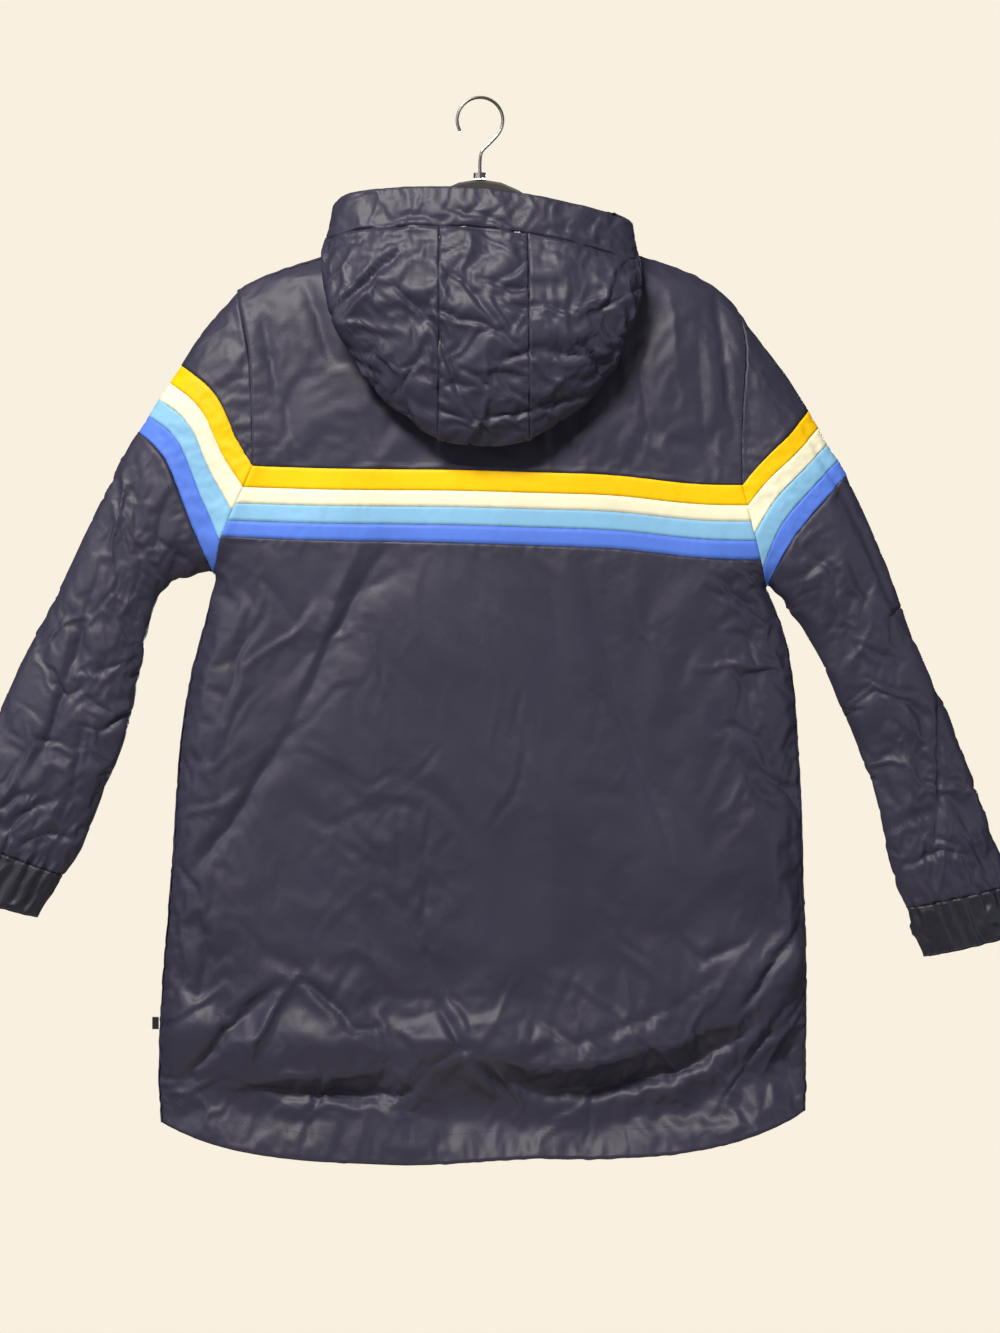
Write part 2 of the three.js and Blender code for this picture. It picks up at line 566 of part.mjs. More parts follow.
// The side of a lower panel: the armhole below the stripes, then the side seam.
function lowerSide(side) {
  const below = LEVELS[side].slice(BODY_EDGE[4]).map((row) => at(row.x, row.z));
  return [...below, ...SIDE_STEPS.map((t) => CURVES[side].body(t))];
}
const ARM_ROWS = LEVELS.left.length - 1 - BODY_EDGE[4];

// Back pieces.
const backColumns = steps(backTop().length - 1);
const shoulderCount = SHOULDER_STEPS.length;
const onShoulder = (i, last) => i < shoulderCount || i > last - shoulderCount;
function buildBack() {
  const last = backColumns.length - 1;
  const upper = patch({
    top: stepped(backTop()),
    bottom: stepped(stripeEdge(0, bodyColumns(0))),
    left: armLine('left'),
    right: armLine('right'),
  });
  const upperNode = (point, i, j) => clothNode(point, 'back', { seamFold: j === 0 && onShoulder(i, last) });
  add('back_upper', wall(sewn(upper, backColumns, armRows, upperNode, { top: false })), 'navy');
  STRIPES.forEach((name, k) => {
    const rows = LEVELS.left.slice(BODY_EDGE[k], BODY_EDGE[k + 1] + 1).map((row) => at(row.x, row.z));
    const ends = LEVELS.right.slice(BODY_EDGE[k], BODY_EDGE[k + 1] + 1).map((row) => at(row.x, row.z));
    const stripe = patch({
      top: stepped(stripeEdge(k, bodyColumns(k))),
      bottom: stepped(stripeEdge(k + 1, bodyColumns(k + 1))),
      left: stepped(rows),
      right: stepped(ends),
    });
    const plain = (point) => clothNode(point, 'back');
    add(`back_stripe_${name}`, wall(sewn(stripe, backColumns, steps(rows.length - 1), plain)), name);
  });
  const sides = { left: lowerSide('left'), right: lowerSide('right') };
  const corners = [sides.left, sides.right].map((points) => points[points.length - 1]);
  const hem = smooth([corners[0], ...HEM, corners[1]]);
  const widths = bodyColumns(4).map((x, _, all) => (x - all[0]) / (all[all.length - 1] - all[0]));
  const lower = patch({
    top: stepped(stripeEdge(4, bodyColumns(4))),
    bottom: stepped(widths.map((t) => hem(t))),
    left: stepped(sides.left),
    right: stepped(sides.right),
  });
  const rows = steps(sides.left.length - 1);
  const grid = sewn(lower, backColumns, rows, (point, i, j) => sideNode(point, 'back', i, j, last), {
    bottom: false, left: false, right: false,
  });
  add('back_lower', wall(trimArm(grid, 'back')), 'navy');
}

// A node of a lower panel. Below the armpit its side lies on the side seam.
function sideNode(point, face, i, j, last) {
  if ((i !== 0 && i !== last) || j < ARM_ROWS) return clothNode(point, face);
  const outward = new THREE.Vector3(Math.sign(point.x), 0, 0);
  return clothNode(point, face, { seamFold: true, outward });
}

// Above the armpit a lower panel's side is sewn to the sleeve, so its first rows are trimmed.
function trimArm(grid, face, both = true) {
  for (let j = 0; j < ARM_ROWS; j += 1) {
    const row = grid[j];
    const ends = both ? [[0, 1], [row.length - 1, row.length - 2]] : [[0, 1]];
    for (const [end, next] of ends) {
      const flat = (node) => at(node.outer.x, node.outer.z);
      const above = grid[Math.max(0, j - 1)][end];
      const step = flat(row[next]).sub(flat(row[end]));
      const moved = flat(row[end]).add(squareTo(flat(above), flat(grid[j + 1][end]), step));
      row[end] = clothNode(moved, face);
    }
  }
  return grid;
}

// Fronts, each from its armhole to the zip.
function buildFront(side) {
  const columns = steps(frontTop(side).length - 1);
  const edgeLine = (from, to, count) => steps(count).map((t) => at(frontEdge(side), from + (to - from) * t));
  const levelZ = (k) => stripeEdge(k, frontColumns(side, k))[columns.length - 1].z;
  const open = { right: false };
  const upper = patch({
    top: stepped(frontTop(side)),
    bottom: stepped(stripeEdge(0, frontColumns(side, 0))),
    left: armLine(side),
    right: stepped(edgeLine(FRONT_NECK_Z, levelZ(0), 1)),
  });
  const upperNode = (point, i, j) => clothNode(point, 'front', { seamFold: j === 0 && i < shoulderCount });
  const upperGrid = sewn(upper, columns, armRows, upperNode, { ...open, top: false });
  add(`front_${side}_upper`, wall(upperGrid), 'navy');
  STRIPES.forEach((name, k) => {
    const rows = LEVELS[side].slice(BODY_EDGE[k], BODY_EDGE[k + 1] + 1).map((row) => at(row.x, row.z));
    const stripe = patch({
      top: stepped(stripeEdge(k, frontColumns(side, k))),
      bottom: stepped(stripeEdge(k + 1, frontColumns(side, k + 1))),
      left: stepped(rows),
      right: stepped(edgeLine(levelZ(k), levelZ(k + 1), rows.length - 1)),
    });
    const grid = sewn(stripe, columns, steps(rows.length - 1), (point) => clothNode(point, 'front'), open);
    add(`front_${side}_stripe_${name}`, wall(grid), name);
  });
  const sidePoints = lowerSide(side);
  const corner = sidePoints[sidePoints.length - 1];
  const hemEnd = at(frontEdge(side), FRONT_HEM_Z);
  const middle = mix(corner, hemEnd, 0.5).add(at(0, -9));
  const hem = smooth([corner, middle, hemEnd]);
  const widths = frontColumns(side, 4).map((x, _, all) => (x - all[0]) / (all[all.length - 1] - all[0]));
  const lower = patch({
    top: stepped(stripeEdge(4, frontColumns(side, 4))),
    bottom: stepped(widths.map((t) => hem(t))),
    left: stepped(sidePoints),
    right: stepped(edgeLine(levelZ(4), hemEnd.z, sidePoints.length - 1)),
  });
  const lowerNode = (point, i, j) => sideNode(point, 'front', i, j, 0);
  const rows = steps(sidePoints.length - 1);
  const grid = sewn(lower, columns, rows, lowerNode, { bottom: false, left: false, right: false });
  add(`front_${side}_lower`, wall(trimArm(grid, 'front', false)), 'navy');
}

// Sleeves. A stripe runs from the back of the armhole over the outer fold to the front of it.
const HALF = ARM_STEPS.length - 1;
const BOW_SECTIONS = 5;                 // the last stripe's bow fades out over these sections
function overFold(map, vs, armpitOut = null, sides = {}) {
  const lastV = vs.length - 1;
  return sewn(map, steps(2 * HALF), vs, (point, i, j) => {
    const face = i < HALF ? 'back' : 'front';
    const atArmpit = armpitOut && j === lastV && (i === 0 || i === 2 * HALF);
    if (atArmpit) return clothNode(point, face, { seamFold: true, outward: armpitOut });
    return clothNode(point, face, { onFold: i === HALF });
  }, sides);
}
function stepsAlong(t) {
  const place = (t <= 0.5 ? t : 1 - t) * 2 * HALF;
  const i = Math.min(HALF - 1, Math.floor(place));
  return ARM_STEPS[i] + (ARM_STEPS[i + 1] - ARM_STEPS[i]) * (place - i);
}
function buildSleeve(side) {
  const { armhole, capTop, bands } = CURVES[side];
  // A point across a strip whose upper and lower edges are curves from the armhole to the fold.
  const between = (upper, lower, start, fold) => {
    const half = patch({ top: upper, bottom: lower, left: start, right: fold });
    return (t, v) => half(stepsAlong(t), v);
  };
  const cap = between(armhole, bands[0], () => armhole(0), capTop);
  const capRows = steps(5);
  const capMap = (t, v) => cap(Math.min(1 - CAP_TIP, Math.max(CAP_TIP, t)), v);
  add(`sleeve_${side}_cap`, wall(overFold(capMap, capRows, null, { left: false, right: false })), 'navy');
  STRIPES.forEach((name, k) => {
    const rows = LEVELS[side].slice(SLEEVE_EDGE[k], SLEEVE_EDGE[k + 1] + 1).map((row) => at(row.x, row.z));
    const from = bands[k](1);
    const to = bands[k + 1](1);
    const map = between(bands[k], bands[k + 1], stepped(rows), (v) => mix(from, to, v));
    const armpitOut = k === 3 ? bands[4](0).sub(bands[4](0.1)).normalize() : null;
    add(`sleeve_${side}_stripe_${name}`, wall(overFold(map, steps(rows.length - 1), armpitOut)), name);
  });

  // The lower sleeve is a ring. Its first section follows the last stripe, and the bow of that edge fades
  // out down the sleeve. Near the cuff each row has twice the columns, for the gathers.
  const armpit = LEVELS[side][LEVELS[side].length - 1];
  const first = { outer: bands[4](1), inner: at(armpit.x, armpit.z) };
  const sections = [first, ...SLEEVE[side].map((row) => ({
    outer: at(row.outerX, row.outerZ), inner: at(row.innerX, row.innerZ),
  }))];
  const fade = (k) => Math.max(0, 1 - k / BOW_SECTIONS) ** 1.3;
  const gathered = sections.length - 3;
  const place = (k, s) => {
    const section = sections[k];
    const bend = bands[4](s).sub(mix(first.inner, first.outer, s)).multiplyScalar(fade(k));
    return mix(section.inner, section.outer, s).add(bend);
  };
  const ringRow = (section, columns, ripple, pointAt) => Array.from({ length: columns }, (_, i) => {
    const t = i / columns;
    const onFold = i === 0 || i === columns / 2;
    const outward = onFold ? section.inner.clone().sub(section.outer).normalize() : null;
    if (onFold && i) outward.negate();
    const uneven = 0.75 + 0.25 * Math.sin(1.7 * i + section.outer.x);
    const out = (i % 2 ? -ripple : ripple) * uneven;
    return clothNode(pointAt(stepsAlong(t)), t < 0.5 ? 'back' : 'front', { onFold, outward, out });
  });
  const last = sections.length - 1;
  const trimmed = (k, s) => {
    const here = place(k, s);
    if (k > 0 && k < last) return here;
    const next = place(k === 0 ? 1 : last - 1, s);
    return here.add(squareTo(place(k, s - 0.02), place(k, s + 0.02), next.sub(here)));
  };
  const rows = sections.map((section, k) => {
    const columns = k < gathered ? 2 * HALF : 4 * HALF;
    const ripple = k < gathered ? 0 : (GATHER_DEPTH * (k - gathered + 1)) / (sections.length - gathered);
    return ringRow(section, columns, ripple, (s) => trimmed(k, s));
  });
  add(`sleeve_${side}_lower`, wall(rows, true), 'navy');

  const cuffSections = [sections[last], ...CUFF[side].map((row) => ({
    outer: at(row.outerX, row.outerZ), inner: at(row.innerX, row.innerZ),
  }))];
  const cuffRows = cuffSections.map((section, k) => ringRow(section, 4 * HALF, CUFF_RIB, (s) => {
    const here = mix(section.inner, section.outer, s);
    if (k > 0) return here;
    const next = mix(cuffSections[1].inner, cuffSections[1].outer, s);
    return here.add(squareTo(section.inner, section.outer, next.sub(here)));
  }));
  add(`sleeve_${side}_cuff`, wall(cuffRows, true), 'navy');
}

// Hood. Its neck edge follows the neckline's own chords, so it sits square on the panels' edges.
const lerp = (a, b, t) => a + (b - a) * t;
function neckNodes(side) {
  const mirror = side === 'left' ? -1 : 1;
  const upTheBack = [...NECK_STEPS].reverse().slice(1);
  const backPoints = [at(2, BACK_NECK_Z), ...upTheBack.map((t) => backNeck(side, t))];
  const frontPoints = NECK_STEPS.map((t) => frontNeck(side, t));
  const nodes = [
    ...backPoints.map((point) => clothNode(point, 'back')),
    clothNode(neckPoint(side), 'back', { onFold: true, outward: new THREE.Vector3(0, 0, 1) }),
    ...frontPoints.map((point) => clothNode(point, 'front')),
  ];
  const centre = new THREE.Vector3(ZIP_X, 0, neckPoint(side).z);
  const turned = nodes.map(({ outer, inner }, i) => {
    const next = nodes[Math.min(nodes.length - 1, i + 1)].outer;
    const before = nodes[Math.max(0, i - 1)].outer;
    const away = next.clone().sub(before).cross(outer.clone().sub(inner)).normalize();
    if (i === NECK_STATION / 2) away.set(0, 0, 1);
    if (away.dot(centre.clone().sub(outer)) < 0 && away.z < 0.9) away.negate();
    return away;
  });
  const seats = nodes.map(({ outer, inner }, i) => {
    const base = i === NECK_STATION / 2 ? outer : outer.clone().lerp(inner, 0.5);
    return base.clone().addScaledVector(turned[i], NECK_SEAM);
  });
  return { mirror, nodes: seats, away: turned };
}
const NECK = { left: neckNodes('left'), right: neckNodes('right') };

// A smooth value between four rows of a table, at t from the second to the third.
function spline(a, b, c, d, t) {
  const bend = 2 * a - 5 * b + 4 * c - d;
  const turn = 3 * b - a - 3 * c + d;
  return 0.5 * (2 * b + (c - a) * t + bend * t * t + turn * t * t * t);
}
function hoodRow(station) {
  const i = Math.min(HOOD.length - 2, Math.floor(station / 2));
  const t = station / 2 - i;
  const row = (k) => HOOD[Math.min(HOOD.length - 1, Math.abs(k))];
  const sign = (k) => (k < 0 ? -1 : 1);
  const value = (pick, flip = 1) => {
    const rows = [row(i - 1), row(i), row(i + 1), row(i + 2)].map(pick);
    return spline(flip * rows[0], rows[1], rows[2], rows[3], t);
  };
  const point = (name) => [0, 1, 2].map((axis) => value((r) => r[name][axis], axis ? 1 : sign(i - 1)));
  return {
    fold: point('fold'),
    mid: point('mid'),
    rim: point('rim'),
    hang: clamp01(value((r) => r.hang)),
    crest: value((r) => r.crest),
  };
}
function hoodControls(signed) {
  const station = Math.abs(signed);
  const { mirror, nodes, away } = NECK[signed < 0 ? 'left' : 'right'];
  const row = hoodRow(station);
  const near = Math.min(nodes.length - 2, Math.floor(station / 2));
  const neck = nodes[near].clone().lerp(nodes[near + 1], station / 2 - near);
  const inward = away[near].clone().lerp(away[near + 1], station / 2 - near).normalize();
  const shifted = clamp01((NECK_STATION + 4 - station) / 6);
  const place = ([x, y, z]) => {
    const wide = mirror * x + HOOD_SHIFT * shifted;
    return new THREE.Vector3(wide, y, z + HOOD_TILT * wide * clamp01((z + 320) / 200) * shifted);
  };
  const { hang, crest } = row;
  const [fold, mid, rim] = [row.fold, row.mid, row.rim].map(place);
  const bend = HOOD_BEND;
  const lift = neck.clone().addScaledVector(inward, bend.off).add(new THREE.Vector3(0, 0, bend.up));
  const overBack = neck.clone().lerp(fold, bend.backShare);
  overBack.add(new THREE.Vector3(0, -bend.backOut, bend.backUp));
  const overFront = neck.clone().lerp(fold, bend.frontShare);
  overFront.z = lerp(neck.z, crest, bend.crestShare);
  const insideBack = neck.clone().lerp(fold, 0.5);
  insideBack.y = Math.min(insideBack.y, -BACK_DEPTH - bend.insideClear);
  const insideFront = neck.clone().lerp(fold, 0.5);
  insideFront.z = lerp(crest, fold.z, bend.insideRise);
  const over = overFront.lerp(overBack, hang);
  const inside = insideFront.lerp(insideBack, hang);
  const low = fold.clone().lerp(mid, bend.lowShare).add(new THREE.Vector3(0, -bend.lowOut * hang, 0));
  const seam = mid.clone().sub(rim);
  seam.setLength(Math.min(BAND_WIDTH, 0.6 * seam.length())).add(rim);
  return [neck, lift, over, inside, fold, low, mid, seam, rim];
}

// Where the hood lies over the shoulders or the panels it is kept off them.
function panelTop(x, face) {
  const side = x < 0 ? 'left' : 'right';
  const neck = neckPoint(side);
  if (Math.abs(x) < Math.abs(neck.x)) {
    const low = face === 'back' ? at(2, BACK_NECK_Z) : at(frontEdge(side), FRONT_NECK_Z);
    const share = clamp01((x - low.x) / (neck.x - low.x));
    return neck.z + (low.z - neck.z) * Math.sqrt(1 - share * share);
  }
  const line = SHOULDER[side];
  const i = Math.max(1, line.findIndex((row) => Math.abs(row.x) > Math.abs(x)));
  return lerp(line[i - 1].z, line[i].z, (x - line[i - 1].x) / (line[i].x - line[i - 1].x));
}
function keptOff(point) {
  const face = point.y < 0 ? 'back' : 'front';
  const below = panelTop(point.x, face) - point.z;
  if (below < 0) return point;
  const { y } = surface(point.x, point.z, face, false);
  const clear = Math.abs(y) + HOOD_CLEAR * clamp01(below / 3);
  point.y = FACE_SIGN[face] * Math.max(Math.abs(point.y), clear);
  return point;
}
function hoodPoint(signed, t) {
  const points = hoodControls(signed);
  const i = Math.min(points.length - 2, Math.floor(t));
  const pick = (k) => points[Math.min(points.length - 1, Math.max(0, k))];
  const near = [i - 1, i, i + 1, i + 2].map(pick);
  const axis = (name) => spline(...near.map((point) => point[name]), t - i);
  return keptOff(new THREE.Vector3(axis('x'), axis('y'), axis('z')));
}
function hoodFold(point) {
  let total = 0;
  for (const { x1, z1, x2, z2, width, depth } of HOOD_FOLDS) {
    const run = at(x2 - x1, z2 - z1);
    const t = clamp01(at(point.x - x1, point.z - z1).dot(run) / run.lengthSq());
    const away = at(point.x - x1, point.z - z1).addScaledVector(run, -t).length() / width;
    total += depth * Math.exp(-away * away);
  }
  return total;
}
const STATION_STEP = 0.2;
const ROW_STEP = 0.15;
function hoodGrid(columns, rows, trims) {
  return rows.map((t, j) => columns.map((signed, i) => {
    const here = hoodPoint(signed, t);
    const across = hoodPoint(signed + STATION_STEP, t).sub(hoodPoint(signed - STATION_STEP, t));
    const along = hoodPoint(signed, t + ROW_STEP).sub(hoodPoint(signed, Math.max(0, t - ROW_STEP)));
    const normal = along.clone().cross(across).normalize();
    const moved = here.clone();
    const origin = new THREE.Vector3();
    const sideways = (way) => moved.add(squareTo(origin, along, across.clone().multiplyScalar(way)));
    const down = (way) => {
      moved.add(squareTo(origin, across, along.clone().multiplyScalar(way), BAND_SEAM / 2));
    };
    if (i === 0 && trims.left) sideways(1);
    if (i === columns.length - 1 && trims.right) sideways(-1);
    if (j === 0 && trims.top) down(1);
    if (j === rows.length - 1 && trims.bottom) down(-1);
    const outerFace = clamp01((t - 4.6) * 2) * clamp01((8 - t) * 2);
    moved.addScaledVector(normal, hoodFold(here) * outerFace);
    return {
      outer: moved.clone().addScaledVector(normal, WALL / 2),
      inner: moved.clone().addScaledVector(normal, -WALL / 2),
    };
  }));
}
function buildHood() {
  const half = HOOD_COLUMNS;
  const seamAt = HOOD_PANEL_STATION;
  const leftHalf = half.map((station) => -station).reverse();
  const all = [...leftHalf, ...half.slice(1)];
  const middle = all.filter((station) => Math.abs(station) <= seamAt);
  const panels = [
    ['hood_left', leftHalf.filter((station) => station <= -seamAt), { right: true, bottom: true }],
    ['hood_centre', middle, { left: true, right: true, bottom: true }],
    ['hood_right', half.filter((station) => station >= seamAt), { left: true, bottom: true }],
  ];
  for (const [name, columns, trims] of panels) add(name, wall(hoodGrid(columns, HOOD_ROWS, trims)), 'navy');
  add('hood_band', wall(hoodGrid(all, BAND_ROWS, { top: true })), 'navy');
}

// Zip. The tapes lie behind the front edges, and the closed chain runs between them.
function block(name, sizes, centre, colour, metalness) {
  const mesh = add(name, new THREE.BoxGeometry(...sizes), colour, metalness);
  mesh.position.set(...centre);
}
const METAL_SHINE = 0.9;
const extruded = (shape, depth) => new THREE.ExtrudeGeometry(shape, { depth, bevelEnabled: false });
function buildZip() {
  const faceY = FRONT_DEPTH - WALL - SEAM;
  const bottom = FRONT_HEM_Z + 3;
  const tapeWide = TAPE.outer - TAPE.inner;
  for (const [side, way] of [['left', -1], ['right', 1]]) {
    const x = ZIP_X + way * (TAPE.inner + tapeWide / 2);
    const sizes = [tapeWide, TAPE.thick, ZIP_TOP - bottom];
    block(`zip_tape_${side}`, sizes, [x, faceY - TAPE.thick / 2, (ZIP_TOP + bottom) / 2], 'zip');
  }
  const chainTop = SLIDER.bottom - SEAM;
  const chainY = faceY - TAPE.thick / 2 + CHAIN.thick / 4;
  const chainSizes = [2 * CHAIN.half, CHAIN.thick, chainTop - bottom];
  block('zip_chain', chainSizes, [ZIP_X, chainY, (chainTop + bottom) / 2], 'zip');

  // The slider is a channel: a base with two ears that hold the pull tab.
  const back = faceY + SEAM;
  const base = back + SLIDER.base;
  const top = base + SLIDER.ear;
  const { half, slot, earWidth } = SLIDER;
  const ear = slot + earWidth;
  const outline = [
    [-half, back], [half, back], [half, base], [ear, base], [ear, top], [slot, top],
    [slot, base], [-slot, base], [-slot, top], [-ear, top], [-ear, base], [-half, base],
  ];
  const shape = new THREE.Shape(outline.map(([x, y]) => new THREE.Vector2(x, y)));
  const height = SLIDER.top - SLIDER.bottom;
  const slider = add('zip_slider', extruded(shape, height), 'metal', METAL_SHINE);
  slider.position.set(ZIP_X, 0, SLIDER.bottom);

  // The pull tab turns about a line along X between the ears.
  const hingeY = base + SLIDER.ear / 2;
  const { neck, wide, above, neckLength, length, thick } = PULL;
  const chamfer = { small: 0.5, large: 2 };
  const rightHalf = [
    [neck - chamfer.small, above], [neck, above - chamfer.small], [neck, -neckLength],
    [wide, -neckLength - chamfer.large], [wide, -length + chamfer.large], [wide - chamfer.large, -length],
  ];
  const mirrored = rightHalf.map(([x, y]) => [-x, y]).reverse();
  const tab = new THREE.Shape([...rightHalf, ...mirrored].map(([x, y]) => new THREE.Vector2(x, y)));
  const pull = add('zip_pull', extruded(tab, thick), 'metal', METAL_SHINE);
  pull.rotation.x = Math.PI / 2;
  pull.position.set(ZIP_X, hingeY + thick / 2, PULL.z);
}

// The plain tab in the left side seam.
function buildSideTab() {
  const from = SIDE.left.find((row) => row.z < SIDE_TAB.z + 2 * SIDE_TAB.height);
  const centre = [from.x - SEAM - SIDE_TAB.width / 2, 0, SIDE_TAB.z];
  block('side_tab', [SIDE_TAB.width, SIDE_TAB.thick, SIDE_TAB.height], centre, 'zip');
}

// Hanger. A flat body with softened edges, lofted along its top edge from tip to tip.
function wayAt(points, i) {
  const next = points[Math.min(points.length - 1, i + 1)];
  return next.clone().sub(points[Math.max(0, i - 1)]).normalize();
}
function hangerStations() {
  const arm = (side) => {
    const curve = CURVES[side].shoulder;
    let t = 0;
    while (Math.abs(curve(t).x) > HANGER_REACH) t += 0.005;
    return [curve(t), ...SHOULDER_STEPS.filter((step) => step > t + 0.04).map((step) => curve(step))];
  };
  const seated = (points) => points.map((point, i) => {
    const way = wayAt(points, i);
    const drop = i === 0 ? TIP_DROP : HANGER_DROP;
    return point.clone().addScaledVector(at(way.z, -way.x).multiplyScalar(Math.sign(way.x)), drop);
  });
  const left = seated(arm('left'));
  const right = seated(arm('right'));
  const archLeft = ARCH.slice(1).reverse().map((row) => at(-row.x, row.z));
  const archRight = ARCH.map((row) => at(row.x, row.z));
  return [...left, ...archLeft, ...archRight, ...right.reverse()];
}
function loft(rings) {
  const positions = rings.flat().flatMap((point) => point.toArray());
  const size = rings[0].length;
  const index = [];
  for (let k = 0; k + 1 < rings.length; k += 1) {
    for (let i = 0; i < size; i += 1) {
      const a = k * size + i;
      const b = k * size + ((i + 1) % size);
      index.push(a, b, a + size, b, b + size, a + size);
    }
  }
  const lastStart = (rings.length - 1) * size;
  for (let i = 1; i + 1 < size; i += 1) {
    index.push(0, i + 1, i);
    index.push(lastStart, lastStart + i, lastStart + i + 1);
  }
  return facingOut(positions, index);
}
function buildHanger() {
  const tops = hangerStations();
  const rings = tops.map((top, k) => {
    const way = wayAt(tops, k);
    const down = at(way.z, -way.x);
    const height = HANGER_HEIGHT - HANGER_SLIM * Math.min(1, Math.abs(top.x / HANGER_REACH) ** 6);
    const [half, flat, low] = [HANGER_HALF, HANGER_FLAT, height - HANGER_EDGE];
    const outline = [
      [-flat, 0], [flat, 0], [half, HANGER_EDGE], [half, low],
      [flat, height], [-flat, height], [-half, low], [-half, HANGER_EDGE],
    ];
    return outline.map(([y, deep]) => top.clone().addScaledVector(down, deep).setY(y));
  });
  add('hanger_body', loft(rings), 'velvet');
  const { radius, height } = FERRULE;
  const barrel = new THREE.CylinderGeometry(radius, radius, height, FERRULE_SIDES);
  const ferrule = add('hanger_ferrule', barrel, 'metal', METAL_SHINE);
  ferrule.rotation.x = Math.PI / 2;
  ferrule.position.set(0, 0, FERRULE.top - height / 2);

  // The hook's wire rises, swings to the right, and comes over the top to a free end on the left.
  const centreZ = WIRE_RADIUS - HOOK_RADIUS;
  const round = (degrees) => {
    const angle = THREE.MathUtils.degToRad(degrees);
    return at(HOOK_RADIUS * Math.cos(angle), centreZ + HOOK_RADIUS * Math.sin(angle));
  };
  const rise = [at(0, FERRULE.top + SEAM), ...HOOK_RISE.map((row) => at(row.x, row.z))];
  const bend = steps(12).map((t) => round(HOOK_BEND.from + (HOOK_BEND.to - HOOK_BEND.from) * t));
  const path = new THREE.CatmullRomCurve3([...rise, ...bend], false, 'centripetal');
  const circle = new THREE.Shape();
  circle.absarc(0, 0, WIRE_RADIUS, 0, 2 * Math.PI);
  const sweep = { steps: 34, curveSegments: 4, extrudePath: path, bevelEnabled: false };
  add('hanger_hook', new THREE.ExtrudeGeometry(circle, sweep), 'metal', METAL_SHINE);
}

buildBack();
for (const side of ['left', 'right']) buildFront(side);
for (const side of ['left', 'right']) buildSleeve(side);
buildHood();
buildZip();
buildSideTab();
buildHanger();

export default group;
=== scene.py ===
import json
import math
from collections import namedtuple

import bmesh
import bpy
import numpy as np
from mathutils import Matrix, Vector
from mathutils.bvhtree import BVHTree
from mathutils.kdtree import KDTree


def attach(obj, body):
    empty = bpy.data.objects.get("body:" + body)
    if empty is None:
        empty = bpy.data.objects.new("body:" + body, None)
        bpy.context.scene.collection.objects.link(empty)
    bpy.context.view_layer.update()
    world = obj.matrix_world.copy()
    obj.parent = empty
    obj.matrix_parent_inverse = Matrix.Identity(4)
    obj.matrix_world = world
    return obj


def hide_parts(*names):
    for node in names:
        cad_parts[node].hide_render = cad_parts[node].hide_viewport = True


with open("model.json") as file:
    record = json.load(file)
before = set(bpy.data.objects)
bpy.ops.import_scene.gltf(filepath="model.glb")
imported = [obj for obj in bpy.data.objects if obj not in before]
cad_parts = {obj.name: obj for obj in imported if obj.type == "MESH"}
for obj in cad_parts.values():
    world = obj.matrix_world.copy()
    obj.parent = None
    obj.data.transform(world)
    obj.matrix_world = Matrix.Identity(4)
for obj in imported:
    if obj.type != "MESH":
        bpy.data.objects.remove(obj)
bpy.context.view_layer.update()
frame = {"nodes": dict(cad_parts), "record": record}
MM = 0.001

# Panels and what they are cut from.
SIDES = ("left", "right")
STRIPES = ("yellow", "white", "sky", "royal")
WALL = 1.2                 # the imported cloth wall
WALL_SLACK = 0.02
CLOTH = 0.45               # the nylon and its seam allowances, in mm
# The fine points' spacing.
GRID = {"back": 3.0, "front": 3.9, "stripe": 2.8, "sleeve": 2.6, "cuff": 1.8, "hood": 2.2}

# How a seam draws the cloth in, and how it puckers beside it. Panels that lie within near share a seam.
SEAM = {"deep": 0.3, "wide": 1.4, "pucker": 0.5, "reach": 7.0, "pitch": 5.0, "turned_in": 3.5, "lap": 0.35}
SEAM_SHARE = {"near": 2.2, "reach": 8.0, "under": 1.1, "calm": 9.0}

